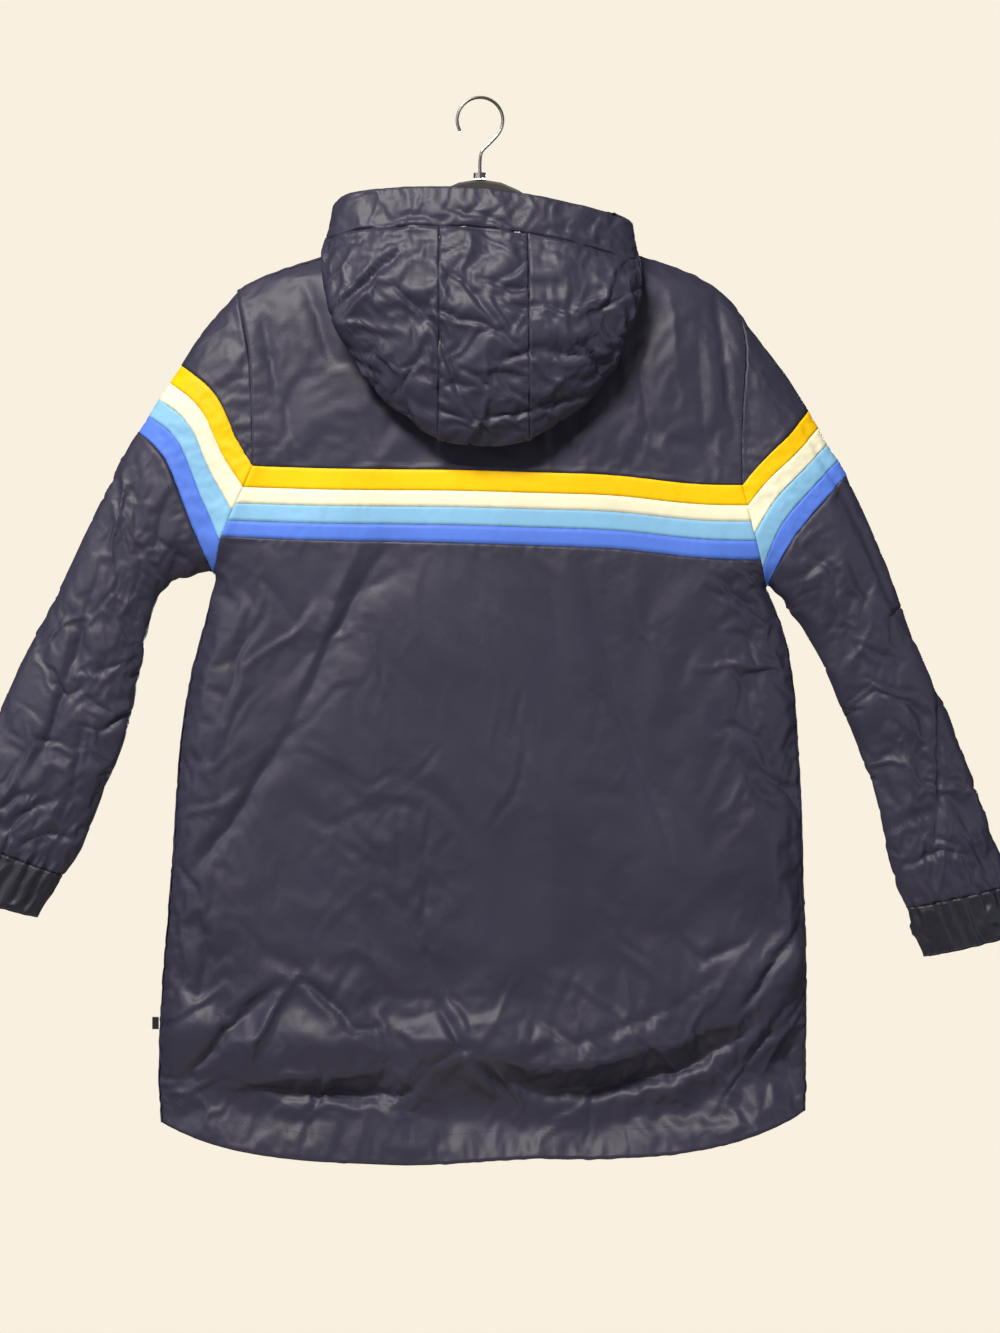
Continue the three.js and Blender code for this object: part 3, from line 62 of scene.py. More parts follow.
# A crease runs along a path over the garment's middle plane, x and z in mm. A depth below 0 is a trough. Its
# flank on the left of the path is wider by half the share lean, and the other one is narrower by as much.
Crease = namedtuple("Crease", "path width depth lean")
BACK_CREASES = [
    Crease([(-85, -419), (-143, -511), (-160, -556), (-183, -603)], 13, -6.2, 0.5),
    Crease([(-175, -590), (-216, -654), (-244, -695), (-268, -728)], 11, -6.9, 0.7),
    Crease([(-198, -479), (-227, -526), (-240, -590)], 10, -3.8, -0.5),
    Crease([(-35, -606), (-65, -641)], 5, -2.2, 0.6),
    Crease([(-71, -641), (-76, -690), (-74, -738)], 6, -2.5, -0.6),
    Crease([(-117, -684), (-98, -708)], 5, -2.5, 0.5),
    Crease([(-45, -663), (-52, -705), (-48, -751)], 6, -2.2, 0.5),
    Crease([(-93, -501), (-90, -553)], 6, -1.8, 0.5),
    Crease([(-130, -455), (-150, -520), (-172, -560)], 9, 2.2, 0.0),
    Crease([(95, -430), (121, -544), (140, -609), (173, -684), (183, -728)], 14, -5.6, 0.5),
    Crease([(133, -447), (183, -576)], 12, 2.8, 0.0),
    Crease([(60, -440), (72, -520)], 9, -1.5, 0.6),
    Crease([(215, -444), (240, -470), (268, -490), (292, -497)], 8, -6.9, 0.6),
    Crease([(232, -440), (262, -462), (288, -474)], 6, 3.2, 0.0),
    Crease([(218, -496), (248, -555), (262, -600), (280, -645), (302, -665)], 11, -5.0, -0.6),
    Crease([(240, -613), (258, -650), (276, -663)], 8, -3.2, 0.5),
    Crease([(39, -553), (33, -588)], 6, -2.0, 0.6),
    Crease([(43, -596), (33, -648), (5, -691)], 8, -2.8, 0.6),
    Crease([(-165, -818), (-194, -854), (-210, -886), (-216, -922)], 15, 10.9, -0.9),
    Crease([(-178, -826), (-212, -850), (-236, -874), (-262, -905), (-284, -928)], 15, -11.9, 0.5),
    Crease([(-167, -824), (-149, -838), (-121, -862)], 8, -8.4, 0.6),
    Crease([(-216, -928), (-178, -932), (-149, -935), (-118, -938), (-73, -934), (-46, -912)], 14, -15.5, 0.8),
    Crease([(-205, -912), (-150, -916), (-90, -914)], 13, 6.1, 0.0),
    Crease([(5, -890), (40, -902), (75, -905), (132, -896), (208, -875), (262, -850)], 15, 10.9, 0.5),
    Crease([(20, -918), (60, -932), (105, -932), (155, -918), (205, -899), (262, -862)], 20, -19.5, 0.9),
    Crease([(31, -896), (110, -876), (212, -842)], 15, -5.7, 0.4),
    Crease([(-42, -848), (-26, -872), (-10, -894)], 9, -9.3, 0.6),
    Crease([(8, -896), (22, -918), (42, -946)], 6, 6.8, 0.4),
    Crease([(-8, -892), (8, -912), (24, -936)], 8, -8.4, 0.4),
    Crease([(-46, -908), (-22, -888), (0, -884)], 7, -6.8, 0.4),
    Crease([(-52, -715), (-55, -778), (-35, -825), (-6, -867)], 8, -5.7, 0.6),
    Crease([(298, -772), (279, -800), (262, -826), (244, -850)], 9, -10.9, 0.5),
    Crease([(180, -776), (204, -812), (226, -800), (252, -786)], 7, -4.5, 0.5),
    Crease([(284, -846), (265, -880), (250, -906)], 7, -8.4, 0.5),
    Crease([(296, -858), (280, -886), (268, -920)], 8, 5.7, 0.0),
    Crease([(-120, -760), (-105, -800), (-72, -840)], 11, 2.2, 0.0),
    Crease([(100, -745), (130, -790), (175, -822)], 10, -2.4, 0.6),
    Crease([(-262, -760), (-256, -810), (-268, -862)], 9, -4.1, 0.5),
    Crease([(-202, -205), (-196, -240), (-188, -272)], 8, -5.8, -0.6),
    Crease([(-176, -190), (-168, -225), (-160, -262)], 9, 2.8, 0.0),
    Crease([(-166, -170), (-150, -215), (-134, -258)], 12, -5.0, 0.4),
    Crease([(-236, -266), (-222, -259), (-206, -262)], 4.5, -3.0, 0.7),
    Crease([(-230, -196), (-229, -216), (-226, -238)], 6, -3.8, 0.5),
    Crease([(-186, -275), (-176, -310), (-170, -342)], 10, -2.2, 0.5),
    Crease([(219, -184), (224, -234), (231, -273), (238, -330)], 9, -5.5, 0.6),
    Crease([(204, -200), (207, -258), (212, -350)], 8, -4.2, -0.6),
    Crease([(176, -180), (182, -240), (190, -300)], 12, 2.8, 0.0),
    Crease([(158, -200), (150, -262), (160, -330)], 12, -2.8, 0.5),
]
FRONT_CREASES = [
    Crease([(-62, -300), (-110, -420), (-140, -520)], 13, -4.2, 0.5),
    Crease([(-110, -450), (-176, -560), (-235, -660), (-262, -720)], 14, -6.2, 0.6),
    Crease([(-215, -440), (-245, -480), (-266, -512)], 8, -5.5, 0.6),
    Crease([(-200, -205), (-190, -250), (-184, -300)], 9, -4.8, -0.6),
    Crease([(-60, -600), (-74, -680), (-66, -740)], 8, -3.0, 0.6),
    Crease([(-200, -760), (-175, -850), (-150, -930)], 13, 3.8, 0.0),
    Crease([(-262, -820), (-215, -872), (-120, -905), (-30, -912)], 13, -6.2, 0.6),
    Crease([(-20, -480), (-42, -540)], 7, -2.5, 0.5),
    Crease([(70, -290), (104, -380), (112, -470)], 12, -3.8, 0.5),
    Crease([(122, -455), (172, -570), (214, -660), (245, -735)], 14, -6.2, -0.5),
    Crease([(232, -440), (262, -478), (288, -500)], 8, -6.0, 0.6),
    Crease([(210, -200), (216, -260), (226, -330)], 9, -4.8, 0.6),
    Crease([(52, -560), (66, -650), (58, -720)], 8, -2.8, 0.6),
    Crease([(42, -840), (110, -868), (200, -862), (285, -836)], 13, -6.2, 0.5),
    Crease([(110, -790), (150, -870), (182, -940)], 11, -3.5, 0.5),
    Crease([(250, -560), (268, -640), (262, -720)], 10, -3.2, -0.5),
    Crease([(-280, -600), (-262, -680), (-270, -760)], 10, -3.5, 0.5),
]
LEFT_SLEEVE_CREASES = [
    Crease([(-352, -430), (-366, -480), (-384, -540), (-402, -598), (-438, -655)], 10, -7.2, 0.5),
    Crease([(-330, -470), (-345, -540), (-352, -590)], 9, 3.1, 0.0),
    Crease([(-318, -576), (-332, -580), (-350, -592)], 5.5, -5.5, 0.6),
    Crease([(-340, -376), (-336, -400), (-330, -430)], 7, -3.1, 0.5),
    Crease([(-262, -440), (-285, -428), (-304, -412)], 6, -5.2, 0.7),
    Crease([(-276, -460), (-300, -446), (-322, -418)], 6, -4.2, -0.6),
    Crease([(-372, -600), (-380, -650), (-396, -690)], 8, -3.9, 0.5),
    Crease([(-352, -640), (-368, -668), (-380, -700)], 7, -3.1, 0.5),
    Crease([(-448, -690), (-420, -668), (-384, -656)], 6, -4.9, 0.7),
    Crease([(-462, -672), (-434, -655), (-414, -650)], 6, -3.9, -0.6),
    Crease([(-470, -655), (-446, -642), (-430, -620)], 7, -3.4, 0.5),
    Crease([(-430, -700), (-402, -690), (-376, -696)], 5.5, -4.4, 0.6),
]
RIGHT_SLEEVE_CREASES = [
    Crease([(296, -300), (318, -338), (337, -368), (362, -419), (385, -471), (411, -512)], 6, -5.7, 0.9),
    Crease([(425, -532), (428, -575), (428, -610), (429, -655), (425, -692), (422, -708)], 6, -5.5, 0.9),
    Crease([(352, -510), (375, -522), (402, -530)], 6, -3.6, 0.7),
    Crease([(366, -545), (388, -556), (414, -558)], 6, -3.4, 0.7),
    Crease([(400, -560), (412, -585), (426, -612)], 7, -3.6, 0.5),
    Crease([(380, -690), (402, -676), (432, -666)], 6.5, -4.4, 0.7),
    Crease([(300, -425), (322, -440), (340, -470)], 7, -3.4, 0.5),
    Crease([(284, -455), (305, -448), (330, -428)], 6, -4.4, 0.7),
    Crease([(350, -590), (376, -640), (386, -690)], 9, -3.6, 0.5),
    Crease([(392, -600), (402, -650), (404, -700)], 9, 3.1, 0.0),
    Crease([(398, -722), (430, -706), (462, -712)], 6, -4.2, 0.7),
    Crease([(440, -640), (452, -680), (466, -712)], 8, -3.4, 0.5),
    Crease([(446, -600), (462, -648), (478, -690)], 9, 3.1, 0.0),
]
HOOD_CREASES = [
    Crease([(-50, -136), (-92, -168), (-120, -196), (-141, -214)], 5.5, -8.2, 0.9),
    Crease([(-68, -152), (-100, -184), (-130, -216)], 5, -6.0, -0.8),
    Crease([(-86, -180), (-60, -206), (-41, -226), (-28, -262), (-20, -288), (-4, -308)], 6, -7.2, 0.9),
    Crease([(-48, -150), (-30, -172), (-14, -184), (8, -214), (36, -243)], 5.5, -6.9, 0.9),
    Crease([(-56, -204), (-22, -218), (8, -224), (38, -246)], 5.5, -6.9, 0.9),
    Crease([(-4, -182), (30, -190), (72, -190), (94, -180)], 5.5, -7.8, 0.9),
    Crease([(10, -184), (30, -176), (48, -160)], 5, -5.1, 0.8),
    Crease([(70, -230), (104, -212), (156, -182)], 5, -5.7, 0.9),
    Crease([(78, -208), (112, -190), (148, -164)], 4.5, -4.5, 0.8),
    Crease([(20, -256), (54, -248), (106, -252)], 7, -9.0, 0.9),
    Crease([(62, -226), (88, -240), (106, -254), (122, -276)], 5, -5.1, 0.8),
    Crease([(68, -236), (102, -242), (140, -240)], 4.5, -4.5, -0.8),
    Crease([(-8, -308), (30, -304), (70, -296), (114, -282)], 5.5, -6.6, 0.8),
    Crease([(-126, -246), (-104, -264), (-84, -277)], 5, -4.5, 0.8),
    Crease([(-136, -232), (-112, -248), (-96, -246)], 5, -3.9, 0.6),
    Crease([(-100, -206), (-82, -222), (-64, -224)], 4.5, -4.5, 0.8),
    Crease([(-48, -232), (-42, -262), (-38, -290)], 4.5, -4.2, 0.7),
    Crease([(-70, -290), (-40, -300), (-10, -306)], 5, -3.9, 0.8),
    Crease([(14, -262), (26, -282), (54, -296)], 5.5, -4.5, 0.8),
    Crease([(-36, -112), (-14, -120), (12, -124), (40, -140)], 5, -5.1, 0.9),
    Crease([(-92, -128), (-56, -122), (-28, -130)], 5, -3.9, 0.8),
    Crease([(64, -132), (90, -142), (128, -160)], 6, -3.6, 0.7),
    Crease([(-96, -150), (-64, -142), (-40, -142)], 5, -4.5, 0.8),
    Crease([(18, -140), (52, -146), (84, -160)], 5, -5.1, 0.8),
    Crease([(36, -212), (64, -206), (90, -212)], 5, -4.2, 0.8),
    Crease([(94, -276), (112, -262), (128, -240)], 5, -3.9, 0.7),
    Crease([(-20, -262), (-2, -270), (12, -288)], 5, -4.2, 0.8),
]

# Broad soft rolls above the hem, by path, width and height.
Roll = namedtuple("Roll", "path width height")
ROLLS = {
    "back": [
        Roll([(-20, -878), (75, -889), (150, -871), (226, -842), (290, -806)], 26, 9.0),
        Roll([(-20, -958), (90, -962), (170, -948), (240, -928), (290, -904)], 32, -14.0),
        Roll([(-270, -868), (-200, -878), (-120, -888), (-60, -884)], 24, 5.0),
        Roll([(-262, -938), (-160, -948), (-70, -948)], 26, -9.5),
    ],
    "front": [
        Roll([(-280, -866), (0, -884), (280, -860)], 24, 5.0),
        Roll([(-280, -926), (0, -942), (280, -920)], 26, -7.0),
    ],
}

# Wrinkles that lie between the creases: their spacing, height, and how long they are drawn along the panel.
# Where crisp is 1 they are sharp lines between facets, and where it is 0 soft swells.
Crumple = namedtuple("Crumple", "pitch height long crisp seed")
CRUMPLES = {
    "back": [Crumple(130, 3.0, 2.2, 0, 3), Crumple(46, 1.1, 2.8, 0, 11), Crumple(17, 0.16, 1.5, 0, 23)],
    "front": [Crumple(130, 3.0, 2.2, 0, 3), Crumple(46, 1.1, 2.8, 0, 11), Crumple(17, 0.16, 1.5, 0, 23)],
    "sleeve": [Crumple(80, 2.6, 2.2, 0, 5), Crumple(34, 0.8, 2.0, 1, 13), Crumple(13, 0.2, 1.6, 1, 29)],
    "hood": [Crumple(60, 2.4, 0.8, 0, 7), Crumple(26, 0.9, 0.8, 1, 17), Crumple(11, 0.2, 1.0, 1, 31)],
    "stripe": [Crumple(130, 3.0, 2.2, 0, 3), Crumple(46, 0.6, 2.8, 0, 11), Crumple(14, 0.12, 1.5, 0, 37)],
    "cuff": [Crumple(80, 2.6, 2.2, 0, 5), Crumple(13, 0.25, 1.6, 1, 29)],
}

# Cloth that is longer than its place, and so crumples when it settles: by what share, how far a point may
# move in mm, and how stiff its folds are.
Slack = namedtuple("Slack", "share most stiff")
SLACK = {
    "hood_left": Slack(0.055, 7.5, 0.03), "hood_centre": Slack(0.055, 6.5, 0.03),
    "hood_right": Slack(0.055, 7.5, 0.03), "hood_band": Slack(0.022, 3.0, 0.03),
    "sleeve_left_lower": Slack(0.024, 6.0, 0.05), "sleeve_right_lower": Slack(0.024, 6.0, 0.05),
    "back_lower": Slack(0.045, 7.0, 0.25), "back_upper": Slack(0.008, 2.5, 0.6),
    "front_left_lower": Slack(0.04, 6.0, 0.3), "front_right_lower": Slack(0.04, 6.0, 0.3),
}
SLACK.update({f"sleeve_{side}_{part}": Slack(0.012, 2.0, 0.05) for side in SIDES
              for part in ("cap", *(f"stripe_{name}" for name in STRIPES))})
SETTLE_FRAMES = 9

# Short creases strewn over a zone that runs from start to end and reaches half to each side of that line.
# Angles are in degrees from the x axis, and each pair is the least and the most.
Strewn = namedtuple("Strewn", "start end half count angle spread length width height seed")
STREWN = {
    "back": [
        Strewn((0, -440), (0, -800), 270, 30, 92, 12, (60, 170), (7, 15), (0.5, 1.4), 101),
        Strewn((-110, -430), (-255, -740), 45, 16, 58, 14, (40, 120), (6, 12), (0.8, 2.2), 102),
        Strewn((-110, -640), (-60, -760), 60, 22, 80, 50, (14, 46), (3.5, 6), (0.5, 1.3), 103),
        Strewn((250, -440), (285, -660), 32, 20, 115, 30, (24, 70), (4, 8), (0.9, 2.4), 104),
        Strewn((-270, -890), (280, -880), 62, 46, 6, 34, (26, 90), (4.5, 9), (0.8, 2.4), 105),
        Strewn((-280, -560), (-285, -880), 26, 14, 84, 24, (30, 80), (5, 9), (0.6, 1.6), 106),
        Strewn((250, -800), (290, -900), 40, 14, 50, 20, (30, 80), (4.5, 8), (0.9, 2.2), 107),
        Strewn((0, -180), (0, -350), 215, 26, 92, 10, (50, 130), (7, 13), (0.5, 1.5), 108),
        Strewn((-205, -190), (-190, -330), 22, 12, 96, 26, (20, 60), (4, 8), (0.7, 1.8), 109),
        Strewn((215, -190), (228, -350), 22, 12, 88, 26, (20, 60), (4, 8), (0.7, 1.8), 110),
        Strewn((-250, -412), (290, -424), 10, 30, 84, 24, (10, 26), (3, 5), (0.3, 0.7), 111),
    ],
    "front": [
        Strewn((-150, -440), (-150, -800), 120, 18, 88, 14, (60, 170), (7, 15), (0.5, 1.4), 121),
        Strewn((150, -440), (150, -800), 120, 18, 92, 14, (60, 170), (7, 15), (0.5, 1.4), 122),
        Strewn((-270, -890), (280, -880), 62, 40, 0, 34, (26, 90), (4.5, 9), (0.8, 2.2), 123),
        Strewn((0, -180), (0, -350), 215, 22, 90, 12, (50, 130), (7, 13), (0.5, 1.5), 124),
        Strewn((-262, -440), (-285, -640), 30, 14, 70, 30, (24, 70), (4, 8), (0.8, 2.0), 125),
        Strewn((262, -440), (285, -640), 30, 14, 110, 30, (24, 70), (4, 8), (0.8, 2.0), 126),
    ],
    "left": [
        Strewn((-285, -400), (-440, -700), 52, 46, 62, 20, (26, 100), (4, 8), (0.8, 2.2), 131),
        Strewn((-270, -420), (-300, -470), 34, 16, 150, 26, (16, 50), (3.5, 6), (0.8, 2.0), 132),
        Strewn((-395, -650), (-440, -715), 52, 34, 58, 30, (16, 56), (3, 6), (0.8, 2.2), 133),
        Strewn((-360, -560), (-420, -670), 50, 16, 150, 24, (16, 46), (3.5, 6), (0.7, 1.8), 134),
    ],
    "right": [
        Strewn((290, -400), (440, -720), 48, 50, 114, 20, (26, 100), (4, 8), (0.8, 2.2), 141),
        Strewn((280, -420), (305, -470), 34, 18, 35, 26, (16, 50), (3.5, 6), (0.8, 2.0), 142),
        Strewn((415, -690), (440, -750), 46, 34, 112, 30, (16, 56), (3, 6), (0.8, 2.2), 143),
        Strewn((370, -540), (430, -680), 46, 18, 25, 24, (16, 46), (3.5, 6), (0.7, 1.8), 144),
    ],
    "hood": [
        Strewn((0, -130), (0, -320), 125, 60, -14, 34, (24, 80), (3, 6.5), (1.2, 3.6), 151),
        Strewn((-90, -150), (-40, -300), 55, 26, 52, 30, (20, 60), (3, 5.5), (1.2, 3.3), 152),
        Strewn((60, -170), (110, -270), 50, 26, 18, 30, (20, 70), (3, 5.5), (1.2, 3.3), 153),
        Strewn((-110, -120), (130, -130), 16, 34, 70, 40, (10, 30), (2.6, 5), (0.8, 2.0), 154),
    ],
}

# The kinks of a strewn crease and the most that each turns in radians, the share of them that are ridges, and
# how far they lean.
KINKS = {"count": 3, "turn": 0.45}
RIDGE_SHARE = 0.45
MOST_LEAN = 0.6

# The section of a crease, in its own widths, and the wander of its line.
FOLD = {"reach": 4.5, "crisp": 1.5, "round": 0.03, "top": 0.17, "hollow": 0.42, "spread": 2.2, "taper": 0.65}
Wander = namedtuple("Wander", "pitch height seed")
WANDERS = [Wander(26, 2.2, 51), Wander(9, 1.2, 52)]
FULL_WANDER = 8.0          # the width from which a crease wanders in full

# The lie of each sleeve: a point on its middle line at the cuff seam, and that line's angle.
Lie = namedtuple("Lie", "x z angle")
SLEEVE_LIE = {"left": Lie(-440, -712, 62), "right": Lie(448, -752, 113)}
# The elastic's gathers: their spacing and length, their height on the cuff and above it, how far up they
# reach, and the bend of their lines. Those of the sleeve's front lie a shift away.
GATHER = {
    "pitch": 7.0, "long": 70, "on_cuff": 2.3, "above": 2.8, "reach": 50.0, "bend": 0.4, "bend_pitch": 15,
    "shift": 40.0, "bend_seed": 71, "seed": 72,
}


def smoothstep(value, low, high):
    t = np.clip((value - low) / (high - low), 0.0, 1.0)
    return t * t * (3.0 - 2.0 * t)


def lattice_noise(points, seed):
    """Smooth noise between -1 and 1 at points given in cells."""
    cell = np.floor(points).astype(np.int64)
    part = points - cell
    part = part ** 3 * (part * (part * 6 - 15) + 10)
    total = np.zeros(len(points))
    for corner in np.ndindex(2, 2, 2):
        key = (cell + corner) @ np.array([73856093, 19349663, 83492791]) + seed * 2654435761
        key = ((key ^ (key >> 13)) * 1274126177) & 0x7FFFFFFF
        key = ((key ^ (key >> 15)) * 2246822519) & 0x7FFFFFFF
        weight = np.prod(np.where(corner, part, 1 - part), axis=1)
        total += weight * (key / 0x3FFFFFFF - 1)
    return total


def crumpled(points, rows):
    """Height of the small wrinkles, uneven over the cloth."""
    height = np.zeros(len(points))
    for row in rows:
        cells = points / (row.pitch * np.array([1, 1.6, row.long]))
        bend = np.stack([lattice_noise(cells * 0.7 + 9.1 * k, row.seed + k) for k in range(3)], axis=1)
        swell = lattice_noise(cells + 0.55 * bend, row.seed + 4)
        patch = 0.35 + 0.65 * smoothstep(lattice_noise(cells * 0.35, row.seed + 5), -0.5, 0.5)
        height += row.height * patch * (0.5 - 2 * np.abs(swell) if row.crisp else swell)
    return height


def along(points, path):
    """Distance of each point from a path, positive on its left, and the share of the way along it."""
    path = np.array(path, float)
    steps = np.diff(path, axis=0)
    lengths = np.hypot(steps[:, 0], steps[:, 1])
    before = np.concatenate([[0], np.cumsum(lengths)])
    nearest = np.full(len(points), np.inf)
    side = np.ones(len(points))
    share = np.zeros(len(points))
    for start, step, length, passed in zip(path, steps, lengths, before):
        off = points - start
        t = np.clip(off @ step / length ** 2, 0, 1)
        gap = np.linalg.norm(off - t[:, None] * step, axis=1)
        closer = gap < nearest
        nearest = np.where(closer, gap, nearest)
        side = np.where(closer, np.sign(step[0] * off[:, 1] - step[1] * off[:, 0]), side)
        share = np.where(closer, (passed + t * length) / before[-1], share)
    return nearest * side, share


def strewn_creases(zone):
    """The short creases of one zone, each a path with a few kinks."""
    dice = np.random.default_rng(zone.seed)
    start, end = np.array(zone.start, float), np.array(zone.end, float)
    line = (end - start) / np.linalg.norm(end - start)
    across = np.array([-line[1], line[0]])
    creases = []
    for _ in range(zone.count):
        middle = start + dice.uniform() * (end - start) + dice.uniform(-1, 1) * zone.half * across
        turn = math.radians(zone.angle + zone.spread * dice.normal())
        length = dice.uniform(*zone.length)
        path = [np.zeros(2)]
        for _ in range(KINKS["count"]):
            way = turn + dice.uniform(-KINKS["turn"], KINKS["turn"])
            path.append(path[-1] + length / KINKS["count"] * np.array([math.cos(way), math.sin(way)]))
        path = np.array(path) - path[-1] / 2 + middle
        depth = dice.uniform(*zone.height) * (1 if dice.uniform() < RIDGE_SHARE else -1)
        creases.append(Crease(path, dice.uniform(*zone.width), depth, dice.uniform(-MOST_LEAN, MOST_LEAN)))
    return creases


def creased(points, creases):
    """Height of the creases over the plane x, z: each a crisp line between two flanks."""
    height = np.zeros(len(points))
    wander = sum(row.height * lattice_noise(points / row.pitch, row.seed) for row in WANDERS)
    flat = points[:, [0, 2]]
    for crease in creases:
        path = np.array(crease.path, float)
        reach = FOLD["reach"] * crease.width
        near = np.all((flat > path.min(0) - reach) & (flat < path.max(0) + reach), axis=1)
        if not near.any():
            continue
        gap, share = along(flat[near], crease.path)
        gap = gap + wander[near] * min(1.0, crease.width / FULL_WANDER)
        strength = np.sin(math.pi * np.clip(share, 0.0, 1.0)) ** FOLD["taper"]
        flank = gap / (crease.width * np.where(gap > 0, 1 + 0.5 * crease.lean, 1 - 0.5 * crease.lean))
        crisp = np.exp(-FOLD["crisp"] * (np.sqrt(flank ** 2 + FOLD["round"]) - FOLD["top"]))
        hollow = FOLD["hollow"] * np.exp(-(flank / FOLD["spread"]) ** 2)
        height[near] += crease.depth * strength * (crisp - hollow)
    return height


def rolled(points, rolls):
    """Height of the broad rolls over the plane x, z."""
    height = np.zeros(len(points))
    for roll in rolls:
        gap, _ = along(points[:, [0, 2]], roll.path)
        height += roll.height * np.exp(-(gap / roll.width) ** 2)
    return height


def gathered(points, side):
    """Height of the elastic's gathers, on the cuff and fading out above it."""
    lie = SLEEVE_LIE[side]
    turn = math.radians(lie.angle)
    off = points[:, [0, 2]] - np.array([lie.x, lie.z])
    above = off @ np.array([math.cos(turn), math.sin(turn)])
    across = off @ np.array([-math.sin(turn), math.cos(turn)])
    shift = GATHER["shift"] * (points[:, 1] > 0)
    level = np.zeros(len(points))
    cells = np.stack([across / GATHER["pitch"] + shift, level, above / GATHER["long"]], axis=1)
    bend = GATHER["bend"] * lattice_noise(points / GATHER["bend_pitch"], GATHER["bend_seed"])[:, None]
    ridge = 1 - 2 * np.abs(lattice_noise(cells + bend, GATHER["seed"]))
    fade = np.where(above > 0, GATHER["above"] * np.exp(-above / (0.5 * GATHER["reach"])), GATHER["on_cuff"])
    return fade * (ridge - 0.5)


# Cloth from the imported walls.
def kind_of(node):
    if node.startswith("hood"):
        return "hood"
    if "stripe" in node:
        return "stripe"
    if node.endswith("cuff"):
        return "cuff"
    return node.split("_")[0]


MERGED = 0.02              # loose corners within this become one
HOOD_MIDDLE = -50.0        # the hood's bag hangs behind this plane
BEHIND = 0.6
WIDE_CELL = 1.45           # a cell this many times too wide is cut
SMOOTHINGS = 6


def outer_face(node):
    """The outer face of a packed wall, as a grid of quads."""
    mesh = bmesh.new()
    mesh.from_mesh(frame["nodes"][node].data)
    bmesh.ops.remove_doubles(mesh, verts=mesh.verts, dist=MERGED * MM)
    links = [e for e in mesh.edges if abs(e.calc_length() / MM - WALL) < WALL_SLACK]
    rim = {f for e in links for f in e.link_faces}
    bmesh.ops.delete(mesh, geom=list(rim), context="FACES")
    middle = HOOD_MIDDLE * MM if node.startswith("hood") else 0.0
    best, keep = -math.inf, set()
    left = set(mesh.faces)
    while left:
        sheet = {left.pop()}
        edge = list(sheet)
        while edge:
            near = {f for e in edge.pop().edges for f in e.link_faces} & left
            left -= near
            sheet |= near
            edge.extend(near)
        facing = [(f, f.calc_center_median().y) for f in sheet]
        facing = [(f, y) for f, y in facing if not middle or y < BEHIND * middle]
        score = sum(f.calc_area() * f.normal.y * (y - middle) for f, y in facing)
        if score > best:
            best, keep = score, sheet
    bmesh.ops.delete(mesh, geom=[f for f in mesh.faces if f not in keep], context="FACES")
    bmesh.ops.join_triangles(
        mesh, faces=mesh.faces, angle_face_threshold=math.pi, angle_shape_threshold=math.pi
    )
    return mesh


def new_object(name, mesh):
    piece = bpy.data.objects.new(name, mesh)
    bpy.context.scene.collection.objects.link(piece)
    return piece


def made_plain(piece):
    """Applies a piece's modifiers to its mesh."""
    bpy.context.view_layer.update()
    evaluated = piece.evaluated_get(bpy.context.evaluated_depsgraph_get())
    mesh = bpy.data.meshes.new_from_object(evaluated)
    piece.modifiers.clear()
    piece.data = mesh
    return piece


def edge_rings(mesh):
    """The rings of edges that lie opposite each other in the cells."""
    leader = list(range(len(mesh.edges)))

    def lead(i):
        while leader[i] != i:
            leader[i] = leader[leader[i]]
            i = leader[i]
        return i

    mesh.edges.index_update()
    for cell in mesh.faces:
        if len(cell.edges) == 4:
            for k in (0, 1):
                leader[lead(cell.edges[k].index)] = lead(cell.edges[k + 2].index)
    rings = {}
    for e in mesh.edges:
        rings.setdefault(lead(e.index), []).append(e)
    return list(rings.values())


def refined(node):
    """A smooth fine grid over a panel's outer face, with cells near square."""
    spacing = GRID[kind_of(node)]
    grid = outer_face(node)
    short = min(np.median([e.calc_length() for e in ring]) for ring in edge_rings(grid)) / MM
    mesh = bpy.data.meshes.new(node + "_cloth")
    grid.to_mesh(mesh)
    grid.free()
    piece = new_object(node + "_cloth", mesh)
    rounder = piece.modifiers.new("Rounder", "SUBSURF")
    rounder.levels = rounder.render_levels = max(1, min(4, round(math.log2(short / spacing))))
    rounder.boundary_smooth = "PRESERVE_CORNERS"
    made_plain(piece)
    fine = bmesh.new()
    fine.from_mesh(piece.data)
    while True:
        rings = edge_rings(fine)
        wide = [r for r in rings if np.median([e.calc_length() for e in r]) > WIDE_CELL * spacing * MM]
        if not wide:
            break
        cut = [e for ring in wide for e in ring]
        bmesh.ops.subdivide_edges(fine, edges=cut, cuts=1, use_grid_fill=True)
    inside = [v for v in fine.verts if not v.is_boundary]
    for _ in range(SMOOTHINGS):
        bmesh.ops.smooth_vert(fine, verts=inside, factor=0.5, use_axis_x=True, use_axis_y=True, use_axis_z=True)
    fine.to_mesh(piece.data)
    fine.free()
    return piece


def arrays(mesh):
    points = np.zeros(3 * len(mesh.vertices))
    normals = np.zeros(3 * len(mesh.vertices))
    mesh.vertices.foreach_get("co", points)
    mesh.vertices.foreach_get("normal", normals)
    return points.reshape(-1, 3) / MM, normals.reshape(-1, 3)


def boundary_edges(mesh):
    uses = {}
    for polygon in mesh.polygons:
        for key in polygon.edge_keys:
            uses[key] = uses.get(key, 0) + 1
    return [key for key, count in uses.items() if count == 1]


def edge_distance(mesh, points):
    """Distance of each point from the piece's edge, and the edge point that is nearest to it."""
    rim = sorted({v for key in boundary_edges(mesh) for v in key})
    tree = KDTree(len(rim))
    for v in rim:
        tree.insert(points[v], v)
    tree.balance()
    found = [tree.find(point) for point in points]
    return np.array([hit[2] for hit in found]), points[[hit[1] for hit in found]]


STREWN_CREASES = {name: [c for zone in zones for c in strewn_creases(zone)] for name, zones in STREWN.items()}
